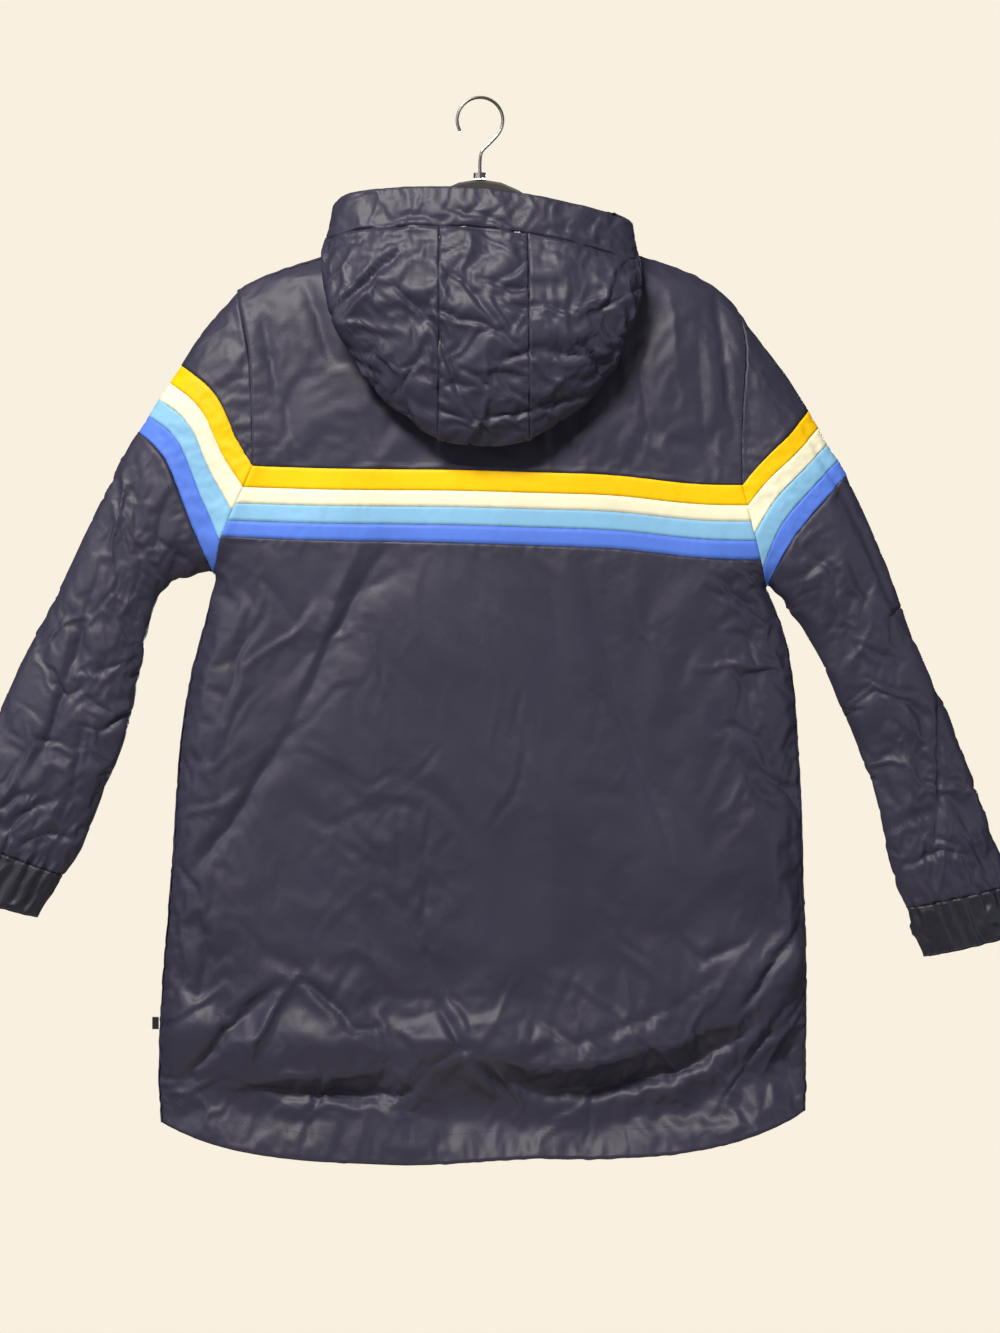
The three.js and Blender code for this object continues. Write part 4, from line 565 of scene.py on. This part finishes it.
# A sleeve's front has the creases of its back, shifted and shallower.
FRONT_SHIFT = np.array([9, 0, 14])
FRONT_SHARE = 0.8
TURN_Y = 3                 # half the depth over which one side's creases give way to the other's


def creases_for(node, points):
    if node.startswith("hood"):
        creases = HOOD_CREASES + STREWN_CREASES["hood"]
        return creased(points, creases)
    if node.startswith("sleeve"):
        side = "left" if "left" in node else "right"
        creases = (LEFT_SLEEVE_CREASES if side == "left" else RIGHT_SLEEVE_CREASES) + STREWN_CREASES[side]
        behind = 1 - smoothstep(points[:, 1], -TURN_Y, TURN_Y)
        front = creased(points + FRONT_SHIFT, creases)
        return creased(points, creases) * behind + FRONT_SHARE * front * (1 - behind) + gathered(points, side)
    side, creases = ("back", BACK_CREASES) if node.startswith("back") else ("front", FRONT_CREASES)
    return creased(points, creases + STREWN_CREASES[side]) + rolled(points, ROLLS[side])


# Where the body's spare length lies: shares of it, and the places between which each comes in, in mm.
SPARE = {
    "above_hem": (800, 870), "hem": (935, 965), "hem_held": 0.6, "side": 0.45, "sides": (190, 275),
    "armpit": 0.8, "armpits": (200, 250), "armpit_foot": (560, 680), "least": 0.06,
}
# And a loose place at the waist: its share, its middle, and how wide and high it is.
WAIST = {"share": 0.3, "x": -90, "z": -700, "wide": 70, "high": 80}


def spare_cloth(points):
    """How much of the spare length lies where: most above the hem and beside the sides."""
    x, z = points[:, 0], points[:, 2]
    hem = smoothstep(-z, *SPARE["above_hem"]) * (1 - SPARE["hem_held"] * smoothstep(-z, *SPARE["hem"]))
    sides = SPARE["side"] * smoothstep(np.abs(x), *SPARE["sides"])
    across, up = (x - WAIST["x"]) / WAIST["wide"], (z - WAIST["z"]) / WAIST["high"]
    waist = WAIST["share"] * np.exp(-across ** 2 - up ** 2)
    armpit = SPARE["armpit"] * smoothstep(x, *SPARE["armpits"]) * (1 - smoothstep(-z, *SPARE["armpit_foot"]))
    return np.clip(np.maximum.reduce([hem, sides, waist, armpit]), SPARE["least"], 1.0)


# The nylon as the simulation takes it.
NYLON_CLOTH = {
    "quality": 4, "mass": 0.1, "tension_stiffness": 20, "compression_stiffness": 20, "shear_stiffness": 8,
    "bending_damping": 0.2, "air_damping": 4, "pin_stiffness": 1,
}


def settle(piece, slack):
    """Lets a panel that is held by its seams crumple into its spare length."""
    mesh = piece.data
    start, _ = arrays(mesh)
    seams = piece.vertex_groups.new(name="seams")
    seams.add(sorted({v for key in boundary_edges(mesh) for v in key}), 1.0, "REPLACE")
    cloth = piece.modifiers.new("Settle", "CLOTH")
    settings = cloth.settings
    for name, value in NYLON_CLOTH.items():
        setattr(settings, name, value)
    settings.bending_stiffness = slack.stiff
    settings.vertex_group_mass = seams.name
    settings.shrink_min = -slack.share
    if piece.name.startswith(("back_lower", "front")):
        taut = piece.vertex_groups.new(name="taut")
        for v, spare in enumerate(spare_cloth(start)):
            taut.add([v], 1 - spare, "REPLACE")
        settings.vertex_group_shrink = taut.name
    settings.effector_weights.gravity = 0
    cloth.collision_settings.use_collision = False
    cloth.point_cache.frame_end = SETTLE_FRAMES
    for step in range(1, SETTLE_FRAMES + 1):
        bpy.context.scene.frame_set(step)
    made_plain(piece)
    bpy.context.scene.frame_set(1)
    end, _ = arrays(piece.data)
    move = end - start
    length = np.linalg.norm(move, axis=1, keepdims=True)
    move *= np.tanh(length / slack.most) * slack.most / np.maximum(length, 1e-6)
    piece.data.vertices.foreach_set("co", ((start + move) * MM).ravel())
    piece.data.update()


def tree_of(points):
    tree = KDTree(len(points))
    for i, point in enumerate(points):
        tree.insert(point, i)
    tree.balance()
    return tree


# The panels' edge points, the normal that the panels share at each, and which of them lie on a seam. A mixed
# seam joins two parts of the garment that crease differently.
Seams = namedtuple("Seams", "tree points normals joined mixed owners")


def seams_of(pieces):
    points, normals, owners = [], [], []
    for node, piece in pieces.items():
        places, ways = arrays(piece.data)
        rim = sorted({v for key in boundary_edges(piece.data) for v in key})
        points.append(places[rim])
        normals.append(ways[rim])
        owners += [node] * len(rim)
    points, normals, owners = np.concatenate(points), np.concatenate(normals), np.array(owners)
    parts = np.array([owner.split("_")[0] for owner in owners])
    tree = tree_of(points)
    near = [[hit[1] for hit in tree.find_range(point, SEAM_SHARE["near"])] for point in points]
    shared = np.array([normals[group].mean(axis=0) for group in near])
    joined = np.array([len(set(owners[group])) > 1 for group in near])
    mixed = np.array([len(set(parts[group])) > 1 for group in near])
    return Seams(tree, points, shared, joined, mixed, owners)


def turned_to_seam(normals, gap, rim):
    """Normals that turn near an edge to the one its seam shares, so that both panels move alike there."""
    close = np.exp(-(gap / SEAM_SHARE["reach"]) ** 2)[:, None]
    mixed = normals * (1 - close) + SEAMS.normals[[SEAMS.tree.find(point)[1] for point in rim]] * close
    return mixed / np.linalg.norm(mixed, axis=1, keepdims=True)


def calmed(node, points):
    """How freely each point may crease: not at all on a seam between two parts of the garment."""
    held = SEAMS.points[SEAMS.mixed & (SEAMS.owners == node)]
    if not len(held):
        return np.ones(len(points))
    tree = tree_of(held)
    gap = np.array([tree.find(point)[2] for point in points])
    return 1 - np.exp(-(gap / SEAM_SHARE["calm"]) ** 2)


# The hood's front creases least: its share there, and how far a point faces back where it creases in full.
HOOD_LEAST = 0.15
HOOD_BACK = 0.35


def shape(node, piece):
    """Gives the fine cloth of one panel its creases, wrinkles and drawn-in seams."""
    points, normals = arrays(piece.data)
    kind = kind_of(node)
    gap, rim = edge_distance(piece.data, points)
    normals = turned_to_seam(normals, gap, rim)
    height = (creases_for(node, points) + crumpled(points, CRUMPLES[kind])) * calmed(node, points)
    edge = [v for v in range(len(points)) if gap[v] == 0]
    ON_SEAM[node] = {v for v in edge if SEAMS.joined[SEAMS.tree.find(points[v])[1]]}
    if kind == "hood":
        height *= HOOD_LEAST + (1 - HOOD_LEAST) * smoothstep(-normals[:, 1], 0.0, HOOD_BACK)
    height -= SEAM["deep"] * np.exp(-(gap / SEAM["wide"]) ** 2)
    height += SEAM["pucker"] * np.exp(-gap / SEAM["reach"]) * lattice_noise(rim / SEAM["pitch"], 61)
    moved = (points + height[:, None] * normals) * MM
    piece.data.vertices.foreach_set("co", moved.ravel())
    piece.data.update()
    if node in SLACK:
        settle(piece, SLACK[node])
    piece.data.polygons.foreach_set("use_smooth", [True] * len(piece.data.polygons))


def turn_in(piece, on_seam):
    """Turns an allowance in along a panel's edge. On a seam it reaches under the next panel."""
    mesh = bmesh.new()
    mesh.from_mesh(piece.data)
    mesh.normal_update()
    edge = [e for e in mesh.edges if e.is_boundary]
    outward = {}
    for e in edge:
        middle = (e.verts[0].co + e.verts[1].co) / 2
        tangent = (e.verts[1].co - e.verts[0].co).normalized()
        away = middle - e.link_faces[0].calc_center_median()
        away -= away.dot(tangent) * tangent
        for v in e.verts:
            outward[v.index] = outward.get(v.index, Vector()) + away.normalized()
    normals = {v.index: v.normal.copy() for e in edge for v in e.verts}
    ring = sorted({v.index for e in edge for v in e.verts})
    mesh.verts.ensure_lookup_table()
    places = {tuple(mesh.verts[i].co): i for i in ring}
    made = bmesh.ops.extrude_edge_only(mesh, edges=edge)["geom"]
    for v in (item for item in made if isinstance(item, bmesh.types.BMVert)):
        i = places[tuple(v.co)]
        lap = SEAM_SHARE["under"] if i in on_seam else SEAM["lap"]
        v.co += (outward[i].normalized() * lap - normals[i] * SEAM["turned_in"]) * MM
    mesh.to_mesh(piece.data)
    mesh.free()


# The cut of each panel: its width, and the share of the rectangle that the cut fills.
Cut = namedtuple("Cut", "width share")


# Finishes.
def linear(red, green, blue):
    def channel(value):
        value /= 255
        return value / 12.92 if value <= 0.04045 else ((value + 0.055) / 1.055) ** 2.4
    return tuple(channel(value) for value in (red, green, blue))


COLOURS = {
    "shell_navy": linear(48, 46, 65),
    # The cuffs' navy is the shell's navy made darker: painted shade for the shadow in the elastic's gathers.
    "cuff_navy_painted_shade": linear(33, 32, 45),
    "stripe_yellow": linear(250, 197, 0),
    "stripe_white": linear(238, 234, 204),
    "stripe_sky": linear(132, 185, 222),
    "stripe_royal": linear(86, 124, 222),
}


def socket(group, name, kind, way, default=None):
    made = group.interface.new_socket(name=name, in_out=way, socket_type=kind)
    if default is not None:
        made.default_value = default
    return made


def link(tree, source, target):
    tree.links.new(source, target)


def value_noise(tree, vector, scale, detail=2.0):
    node = tree.nodes.new("ShaderNodeTexNoise")
    node.inputs["Scale"].default_value = scale
    node.inputs["Detail"].default_value = detail
    link(tree, vector, node.inputs["Vector"])
    return node.outputs["Fac"]


def maths(tree, operation, *values):
    node = tree.nodes.new("ShaderNodeMath")
    node.operation = operation
    for source, target in zip(values, node.inputs):
        if isinstance(source, (int, float)):
            target.default_value = source
        else:
            link(tree, source, target)
    return node.outputs[0]


# The weave's turns a metre, its height beside the crinkles, and the scales of the crinkles and the shading.
WEAVE = {"threads": 1500.0, "height": 0.02, "crinkle_scale": 130.0, "shade_scale": 9.0}
WEAVE_RELIEF = 0.0006
# How uneven the finishes are: in shade, and in gloss.
NYLON = {"rough": 0.52, "crinkle": 0.3, "shade": 0.1, "uneven": 0.12}
GRAIN = {"shade": 0.18, "uneven": 0.16, "uneven_scale": 40.0}
SHADE_ENDS = (0.3, 0.7)


def woven_group():
    """Fine weave, small crinkles and slow shading of a light synthetic cloth."""
    group = bpy.data.node_groups.new("woven cloth", "ShaderNodeTree")
    socket(group, "Threads", "NodeSocketFloat", "INPUT", WEAVE["threads"])
    socket(group, "Crinkle", "NodeSocketFloat", "INPUT", 1.0)
    socket(group, "Height", "NodeSocketFloat", "OUTPUT")
    socket(group, "Shade", "NodeSocketFloat", "OUTPUT")
    inputs = group.nodes.new("NodeGroupInput")
    outputs = group.nodes.new("NodeGroupOutput")
    place = group.nodes.new("ShaderNodeTexCoord").outputs["Object"]
    split = group.nodes.new("ShaderNodeSeparateXYZ")
    link(group, place, split.inputs[0])
    warp = maths(group, "SINE", maths(group, "MULTIPLY", split.outputs["X"], inputs.outputs["Threads"]))
    weft = maths(group, "SINE", maths(group, "MULTIPLY", split.outputs["Z"], inputs.outputs["Threads"]))
    weave = maths(group, "MULTIPLY", warp, weft)
    fine = value_noise(group, place, WEAVE["crinkle_scale"], 3.0)
    sharp = maths(group, "ABSOLUTE", maths(group, "SUBTRACT", fine, 0.5))
    crinkle = maths(group, "MULTIPLY", sharp, inputs.outputs["Crinkle"])
    height = maths(group, "SUBTRACT", maths(group, "MULTIPLY", weave, WEAVE["height"]), crinkle)
    link(group, height, outputs.inputs["Height"])
    link(group, value_noise(group, place, WEAVE["shade_scale"], 4.0), outputs.inputs["Shade"])
    return group


WOVEN = woven_group()


def shader(name):
    material = bpy.data.materials.new(name)
    material.use_nodes = True
    return material, material.node_tree, material.node_tree.nodes["Principled BSDF"]


def shaded_colour(tree, shade, colour, spread):
    ramp = tree.nodes.new("ShaderNodeValToRGB")
    for end, place, share in zip(ramp.color_ramp.elements, SHADE_ENDS, (1 - spread, 1 + spread)):
        end.position = place
        end.color = (*[c * share for c in colour], 1)
    link(tree, shade, ramp.inputs["Fac"])
    return ramp.outputs["Color"]


def relief(tree, height, surface, distance):
    bump = tree.nodes.new("ShaderNodeBump")
    bump.inputs["Distance"].default_value = distance
    link(tree, height, bump.inputs["Height"])
    link(tree, bump.outputs["Normal"], surface.inputs["Normal"])


def nylon(name, colour, gloss=0.4):
    material, tree, surface = shader(name)
    woven = tree.nodes.new("ShaderNodeGroup")
    woven.node_tree = WOVEN
    woven.inputs["Crinkle"].default_value = NYLON["crinkle"]
    surface.inputs["Specular IOR Level"].default_value = gloss
    shaded = shaded_colour(tree, woven.outputs["Shade"], colour, NYLON["shade"])
    link(tree, shaded, surface.inputs["Base Color"])
    spread = maths(tree, "MULTIPLY", woven.outputs["Shade"], NYLON["uneven"])
    link(tree, maths(tree, "ADD", spread, NYLON["rough"] - NYLON["uneven"] / 2), surface.inputs["Roughness"])
    relief(tree, woven.outputs["Height"], surface, WEAVE_RELIEF)
    return material


def grained(name, colour, rough, metallic=0.0, grain=700.0, depth=0.00012, sheen=0.0):
    """A plain finish with a fine grain, for trims, flock and metal."""
    material, tree, surface = shader(name)
    place = tree.nodes.new("ShaderNodeTexCoord").outputs["Object"]
    height = value_noise(tree, place, grain, 3.0)
    surface.inputs["Metallic"].default_value = metallic
    surface.inputs["Sheen Weight"].default_value = sheen
    link(tree, shaded_colour(tree, height, colour, GRAIN["shade"]), surface.inputs["Base Color"])
    spread = maths(tree, "MULTIPLY", value_noise(tree, place, GRAIN["uneven_scale"]), GRAIN["uneven"])
    link(tree, maths(tree, "ADD", spread, rough - GRAIN["uneven"] / 2), surface.inputs["Roughness"])
    relief(tree, height, surface, depth)
    return material


STRIPE_GLOSS = 0.2
MATERIALS = {"shell_navy": nylon("shell navy", COLOURS["shell_navy"])}
for stripe in STRIPES:
    MATERIALS[f"stripe_{stripe}"] = nylon(f"stripe {stripe}", COLOURS[f"stripe_{stripe}"], STRIPE_GLOSS)
# A darker copy of the shell's nylon for the cuffs: painted shade of their gathers.
MATERIALS["cuff_navy_painted_shade"] = nylon("cuff navy", COLOURS["cuff_navy_painted_shade"])
MATERIALS["zip_tape"] = grained("zip tape", (0.012, 0.012, 0.014), 0.75, grain=1600.0, sheen=0.2)
MATERIALS["zip_teeth"] = grained("zip teeth", (0.012, 0.012, 0.014), 0.35)
MATERIALS["zip_metal"] = grained("zip metal", (0.55, 0.55, 0.56), 0.3, metallic=1.0, depth=0.00003)
MATERIALS["tab"] = grained("tab", (0.008, 0.008, 0.01), 0.8, grain=1600.0)
MATERIALS["hanger_flock"] = grained("hanger flock", (0.030, 0.024, 0.020), 0.95, grain=2400.0, sheen=0.9)
MATERIALS["hanger_metal"] = grained("hanger metal", (0.35, 0.33, 0.31), 0.28, metallic=1.0, depth=0.00002)
MATERIALS["thread"] = grained("thread", (0.030, 0.027, 0.036), 0.6, grain=3000.0, sheen=0.3)


def finish_piece(piece, slot_name, finish=None):
    """Puts a piece on the jacket, in its slot's finish or in another."""
    piece.data.materials.clear()
    piece.data.materials.append(MATERIALS[finish or slot_name])
    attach(piece, "jacket")


# Cloth panels.
SLOTS = {row["node"]: row["material_slot"] for row in frame["record"]["subparts"]}
CLOTH_NODES = [name for name in sorted(frame["nodes"]) if SLOTS[name].startswith(("shell", "stripe"))]


def add_wall(piece):
    solid = piece.modifiers.new("Wall", "SOLIDIFY")
    solid.thickness = CLOTH * MM
    solid.offset = -1.0
    solid.use_rim = True


PANELS = {node: refined(node) for node in CLOTH_NODES}
SEAMS = seams_of(PANELS)
ON_SEAM = {}
for node, piece in PANELS.items():
    shape(node, piece)


# Stitches. A row lies on a panel, a way in from its edge.
STITCH = {"pitch": 3.0, "long": 1.15, "thick": 0.3}
PROUD = 0.1                # how far a row's line lies above the cloth
HEM_ROW = 25.0             # the hem's stitching above its edge
ZIP_ROW = 6.0              # and beside the zip
EDGE_ROW = 1.6             # the first row beside an armhole
ARM_ROW = 11.0             # and the second
PANEL_ROW = 2.0            # and round the hood's and cuffs' panels
ARM_X = 200                # the armholes lie outside this
ARM_TOP = -190             # and below this
ARM_SECOND = {"x": 205, "top": -210, "foot": -330}
HEM_SPAN = {"top": -900, "half": 296}
ZIP_X = 6.0                # the zip's middle
ZIP_HALF = 6               # the fronts' edges lie within this of it
RAY_OUT = 0.2              # how far out a ray starts, in m
FEWEST = 3                 # a run of points has more than this


def edge_chains(mesh):
    """The edge of a panel as chains of vertices in order."""
    near = {}
    for a, b in boundary_edges(mesh):
        near.setdefault(a, []).append(b)
        near.setdefault(b, []).append(a)
    chains = []
    left = set(near)
    while left:
        start = min(left)
        chain = [start]
        left.discard(start)
        while True:
            ahead = [v for v in near[chain[-1]] if v in left]
            if not ahead:
                break
            chain.append(ahead[0])
            left.discard(ahead[0])
        chains.append(chain + [start])
    return chains


def cell_centres(mesh):
    """The centres of the cells round each vertex."""
    centres = {}
    for polygon in mesh.polygons:
        for v in polygon.vertices:
            centres.setdefault(v, []).append(polygon.center)
    return centres


def rows_inside(piece, inset, keep):
    """Runs of points that lie inset mm inside the panel's edge, where keep says so."""
    mesh = piece.data
    tree = BVHTree.FromPolygons([v.co for v in mesh.vertices], [p.vertices[:] for p in mesh.polygons])
    centres = cell_centres(mesh)
    runs = []
    for chain in edge_chains(mesh):
        run = []
        for i, v in enumerate(chain):
            here = mesh.vertices[v].co
            tangent = mesh.vertices[chain[min(i + 1, len(chain) - 1)]].co - mesh.vertices[chain[i - 1]].co
            inward = sum(centres[v], Vector()) / len(centres[v]) - here
            if tangent.length:
                inward -= inward.project(tangent)
            if keep(here / MM):
                spot = tree.find_nearest(here + inward.normalized() * inset * MM)
                run.append(spot[0] + spot[1] * PROUD * MM)
            else:
                runs.append(run)
                run = []
        runs.append(run)
    return [run for run in runs if len(run) > FEWEST]


def rows_across(piece, path, face):
    """A path in the plane, laid on the outer side of a panel."""
    mesh = piece.data
    tree = BVHTree.FromPolygons([v.co for v in mesh.vertices], [p.vertices[:] for p in mesh.polygons])
    run = []
    for x, z in path:
        hit = tree.ray_cast(Vector((x * MM, face * RAY_OUT, z * MM)), Vector((0, -face, 0)))
        if hit[0]:
            run.append(hit[0] + Vector((0, face * PROUD * MM, 0)))
    return [run] if len(run) > FEWEST else []


def input_of(group, modifier, name, value):
    for item in group.interface.items_tree:
        if item.item_type == "SOCKET" and item.in_out == "INPUT" and item.name == name:
            modifier[item.identifier] = value


def bead_tree():
    """Small rounded beads along lines: stitches, or the coil of a zip."""
    group = bpy.data.node_groups.new("beads along lines", "GeometryNodeTree")
    socket(group, "Geometry", "NodeSocketGeometry", "INPUT")
    socket(group, "Pitch", "NodeSocketFloat", "INPUT", 0.003)
    socket(group, "Long", "NodeSocketFloat", "INPUT", 0.0011)
    socket(group, "Thick", "NodeSocketFloat", "INPUT", 0.0003)
    socket(group, "Material", "NodeSocketMaterial", "INPUT")
    socket(group, "Geometry", "NodeSocketGeometry", "OUTPUT")
    nodes = group.nodes
    inputs = nodes.new("NodeGroupInput").outputs
    outputs = nodes.new("NodeGroupOutput").inputs
    curve = nodes.new("GeometryNodeMeshToCurve")
    link(group, inputs["Geometry"], curve.inputs[0])
    spaced = nodes.new("GeometryNodeResampleCurve")
    spaced.mode = "LENGTH"
    link(group, curve.outputs[0], spaced.inputs["Curve"])
    link(group, inputs["Pitch"], spaced.inputs["Length"])
    bead = nodes.new("GeometryNodeMeshUVSphere")
    bead.inputs["Segments"].default_value = 5
    bead.inputs["Rings"].default_value = 4
    bead.inputs["Radius"].default_value = 1.0
    size = nodes.new("ShaderNodeCombineXYZ")
    link(group, inputs["Thick"], size.inputs["X"])
    link(group, inputs["Thick"], size.inputs["Y"])
    link(group, inputs["Long"], size.inputs["Z"])
    turn = nodes.new("FunctionNodeAlignRotationToVector")
    turn.axis = "Z"
    link(group, nodes.new("GeometryNodeInputTangent").outputs[0], turn.inputs["Vector"])
    placed = nodes.new("GeometryNodeInstanceOnPoints")
    link(group, spaced.outputs[0], placed.inputs["Points"])
    link(group, bead.outputs["Mesh"], placed.inputs["Instance"])
    link(group, turn.outputs[0], placed.inputs["Rotation"])
    link(group, size.outputs[0], placed.inputs["Scale"])
    real = nodes.new("GeometryNodeRealizeInstances")
    link(group, placed.outputs[0], real.inputs[0])
    painted = nodes.new("GeometryNodeSetMaterial")
    link(group, real.outputs[0], painted.inputs["Geometry"])
    link(group, inputs["Material"], painted.inputs["Material"])
    link(group, painted.outputs[0], outputs["Geometry"])
    return group


BEADS = bead_tree()


def beaded(name, runs, bead, finish):
    """One piece with a bead at each step along the runs. The bead's sizes are in mm."""
    points = [point for run in runs for point in run]
    starts = np.cumsum([0] + [len(run) for run in runs])
    edges = [(s + i, s + i + 1) for s, run in zip(starts, runs) for i in range(len(run) - 1)]
    mesh = bpy.data.meshes.new(name)
    mesh.from_pydata(points, edges, [])
    piece = new_object(name, mesh)
    modifier = piece.modifiers.new("Beads", "NODES")
    modifier.node_group = BEADS
    for key, size in bead.items():
        input_of(BEADS, modifier, key.capitalize(), size * MM)
    input_of(BEADS, modifier, "Material", MATERIALS[finish])
    made_plain(piece)
    piece.data.polygons.foreach_set("use_smooth", [True] * len(piece.data.polygons))
    return piece


def hem_edge(piece):
    """The lowest edge of a panel as x, z in mm, from side to side."""
    edge = {v for key in boundary_edges(piece.data) for v in key}
    low = [piece.data.vertices[v].co / MM for v in edge]
    return sorted((p.x, p.z) for p in low if p.z < HEM_SPAN["top"] and abs(p.x) < HEM_SPAN["half"])


def stitch_runs():
    everywhere = lambda p: True
    beside_arm = lambda p: abs(p.x) > ARM_X and p.z < ARM_TOP
    second = lambda p: abs(p.x) > ARM_SECOND["x"] and ARM_SECOND["foot"] < p.z < ARM_SECOND["top"]
    by_zip = lambda p: abs(p.x - ZIP_X) < ZIP_HALF
    runs = []
    runs += rows_inside(PANELS["back_upper"], EDGE_ROW, beside_arm)
    runs += rows_inside(PANELS["back_upper"], ARM_ROW, second)
    for side in SIDES:
        runs += rows_inside(PANELS[f"front_{side}_upper"], EDGE_ROW, beside_arm)
        runs += rows_inside(PANELS[f"hood_{side}"], PANEL_ROW, everywhere)
        runs += rows_inside(PANELS[f"sleeve_{side}_cuff"], PANEL_ROW, everywhere)
        for part in ("upper", "lower", *(f"stripe_{name}" for name in STRIPES)):
            runs += rows_inside(PANELS[f"front_{side}_{part}"], ZIP_ROW, by_zip)
    runs += rows_inside(PANELS["hood_centre"], PANEL_ROW, everywhere)
    runs += rows_inside(PANELS["hood_band"], PANEL_ROW, everywhere)
    for node, face in (("back_lower", -1), ("front_left_lower", 1), ("front_right_lower", 1)):
        path = [(x, z + HEM_ROW) for x, z in hem_edge(PANELS[node])]
        runs += rows_across(PANELS[node], path, face)
    return runs


finish_piece(beaded("stitches", stitch_runs(), STITCH, "thread"), "shell_navy", "thread")

# Zip teeth: two rows between the tapes.
ZIP_TEETH = {"pitch": 1.9, "long": 0.5, "thick": 0.95}
ZIP_ROWS = {"apart": 0.85, "out": 21.4, "top": -230.5, "foot": -969.0}


def teeth_runs():
    rows = []
    for side in (-1, 1):
        x = ZIP_X + side * ZIP_ROWS["apart"]
        shift = 0.5 * (side + 1) * ZIP_TEETH["pitch"] / 2
        ends = (ZIP_ROWS["top"] - shift, ZIP_ROWS["foot"] - shift)
        rows.append([Vector((x, ZIP_ROWS["out"], z)) * MM for z in ends])
    return rows


finish_piece(beaded("zip_teeth", teeth_runs(), ZIP_TEETH, "zip_teeth"), "zip_teeth")

for node, piece in PANELS.items():
    turn_in(piece, ON_SEAM[node])
    add_wall(piece)
    # The cuffs take the darker navy, painted shade of their gathers.
    finish_piece(piece, SLOTS[node], "cuff_navy_painted_shade" if kind_of(node) == "cuff" else None)
    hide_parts(node)

# The zip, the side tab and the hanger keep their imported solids, in their own finishes.
for name, cad in frame["nodes"].items():
    if name not in PANELS:
        cad.data.materials.clear()
        cad.data.materials.append(MATERIALS[SLOTS[name]])

# Floor, light and camera.
VIEW_X = 0.0188
VIEW_Z = -0.5335
VIEW_HEIGHT = 1.253
VIEW_DISTANCE = 2.4
FLOOR_Z = -1.35
FLOOR_RADIUS = 0.68
FLOOR_SIDES = 96
FLOOR_COLOUR = (0.55, 0.52, 0.46, 1)
FLOOR_ROUGH = 0.9
SENSOR = 36                # the camera's, in mm


def stage_floor():
    mesh = bpy.data.meshes.new("floor")
    turns = np.linspace(0, 2 * math.pi, FLOOR_SIDES + 1)[:-1]
    rim = [(FLOOR_RADIUS * math.cos(turn), FLOOR_RADIUS * math.sin(turn), FLOOR_Z) for turn in turns]
    mesh.from_pydata(rim, [], [list(range(len(rim)))])
    floor = new_object("floor", mesh)
    material, _, surface = shader("pale floor")
    surface.inputs["Base Color"].default_value = FLOOR_COLOUR
    surface.inputs["Roughness"].default_value = FLOOR_ROUGH
    floor.data.materials.append(material)


Lamp = namedtuple("Lamp", "name place size power colour")
LAMPS = [
    Lamp("lamp above", (-0.9, -2.3, 1.6), (1.0, 0.7), 138, (1.0, 0.95, 0.89)),
    Lamp("window left", (-2.4, -1.5, 0.0), (0.7, 1.2), 14, (0.86, 0.93, 1.0)),
    Lamp("room right", (2.2, -1.6, -0.6), (0.7, 1.2), 10, (0.82, 0.91, 1.0)),
    Lamp("room behind", (0.6, 2.5, -0.1), (1.4, 1.0), 100, (1, 1, 1)),
]


def area_light(lamp):
    """An area light that points at the middle of the view."""
    panel = bpy.data.lights.new(lamp.name, "AREA")
    panel.shape = "RECTANGLE"
    panel.size, panel.size_y = lamp.size
    panel.energy = lamp.power
    panel.color = lamp.colour
    light = bpy.data.objects.new(lamp.name, panel)
    bpy.context.scene.collection.objects.link(light)
    light.location = lamp.place
    way = Vector((VIEW_X, 0, VIEW_Z)) - Vector(lamp.place)
    light.rotation_euler = way.to_track_quat("-Z", "Y").to_euler()


stage_floor()
for lamp in LAMPS:
    area_light(lamp)

ROOM = (0.945, 0.872, 0.745, 1)
ROOM_LIGHT = 0.14


def pale_room():
    """A pale room all round, dimmer as a light than it looks."""
    world = bpy.data.worlds.new("pale room")
    world.use_nodes = True
    tree = world.node_tree
    seen = tree.nodes["Background"]
    seen.inputs["Color"].default_value = ROOM
    lights = tree.nodes.new("ShaderNodeBackground")
    lights.inputs["Color"].default_value = ROOM
    lights.inputs["Strength"].default_value = ROOM_LIGHT
    choice = tree.nodes.new("ShaderNodeMixShader")
    link(tree, tree.nodes.new("ShaderNodeLightPath").outputs["Is Camera Ray"], choice.inputs[0])
    link(tree, lights.outputs[0], choice.inputs[1])
    link(tree, seen.outputs[0], choice.inputs[2])
    link(tree, choice.outputs[0], tree.nodes["World Output"].inputs["Surface"])
    bpy.context.scene.world = world


pale_room()
bpy.context.scene.view_settings.view_transform = "Standard"

camera = bpy.data.objects.new("camera", bpy.data.cameras.new("camera"))
bpy.context.scene.collection.objects.link(camera)
camera.data.sensor_width = SENSOR
camera.data.lens = SENSOR * VIEW_DISTANCE / VIEW_HEIGHT
camera.location = (VIEW_X, -VIEW_DISTANCE, VIEW_Z)
camera.rotation_euler = (math.pi / 2, 0, 0)
bpy.context.scene.camera = camera
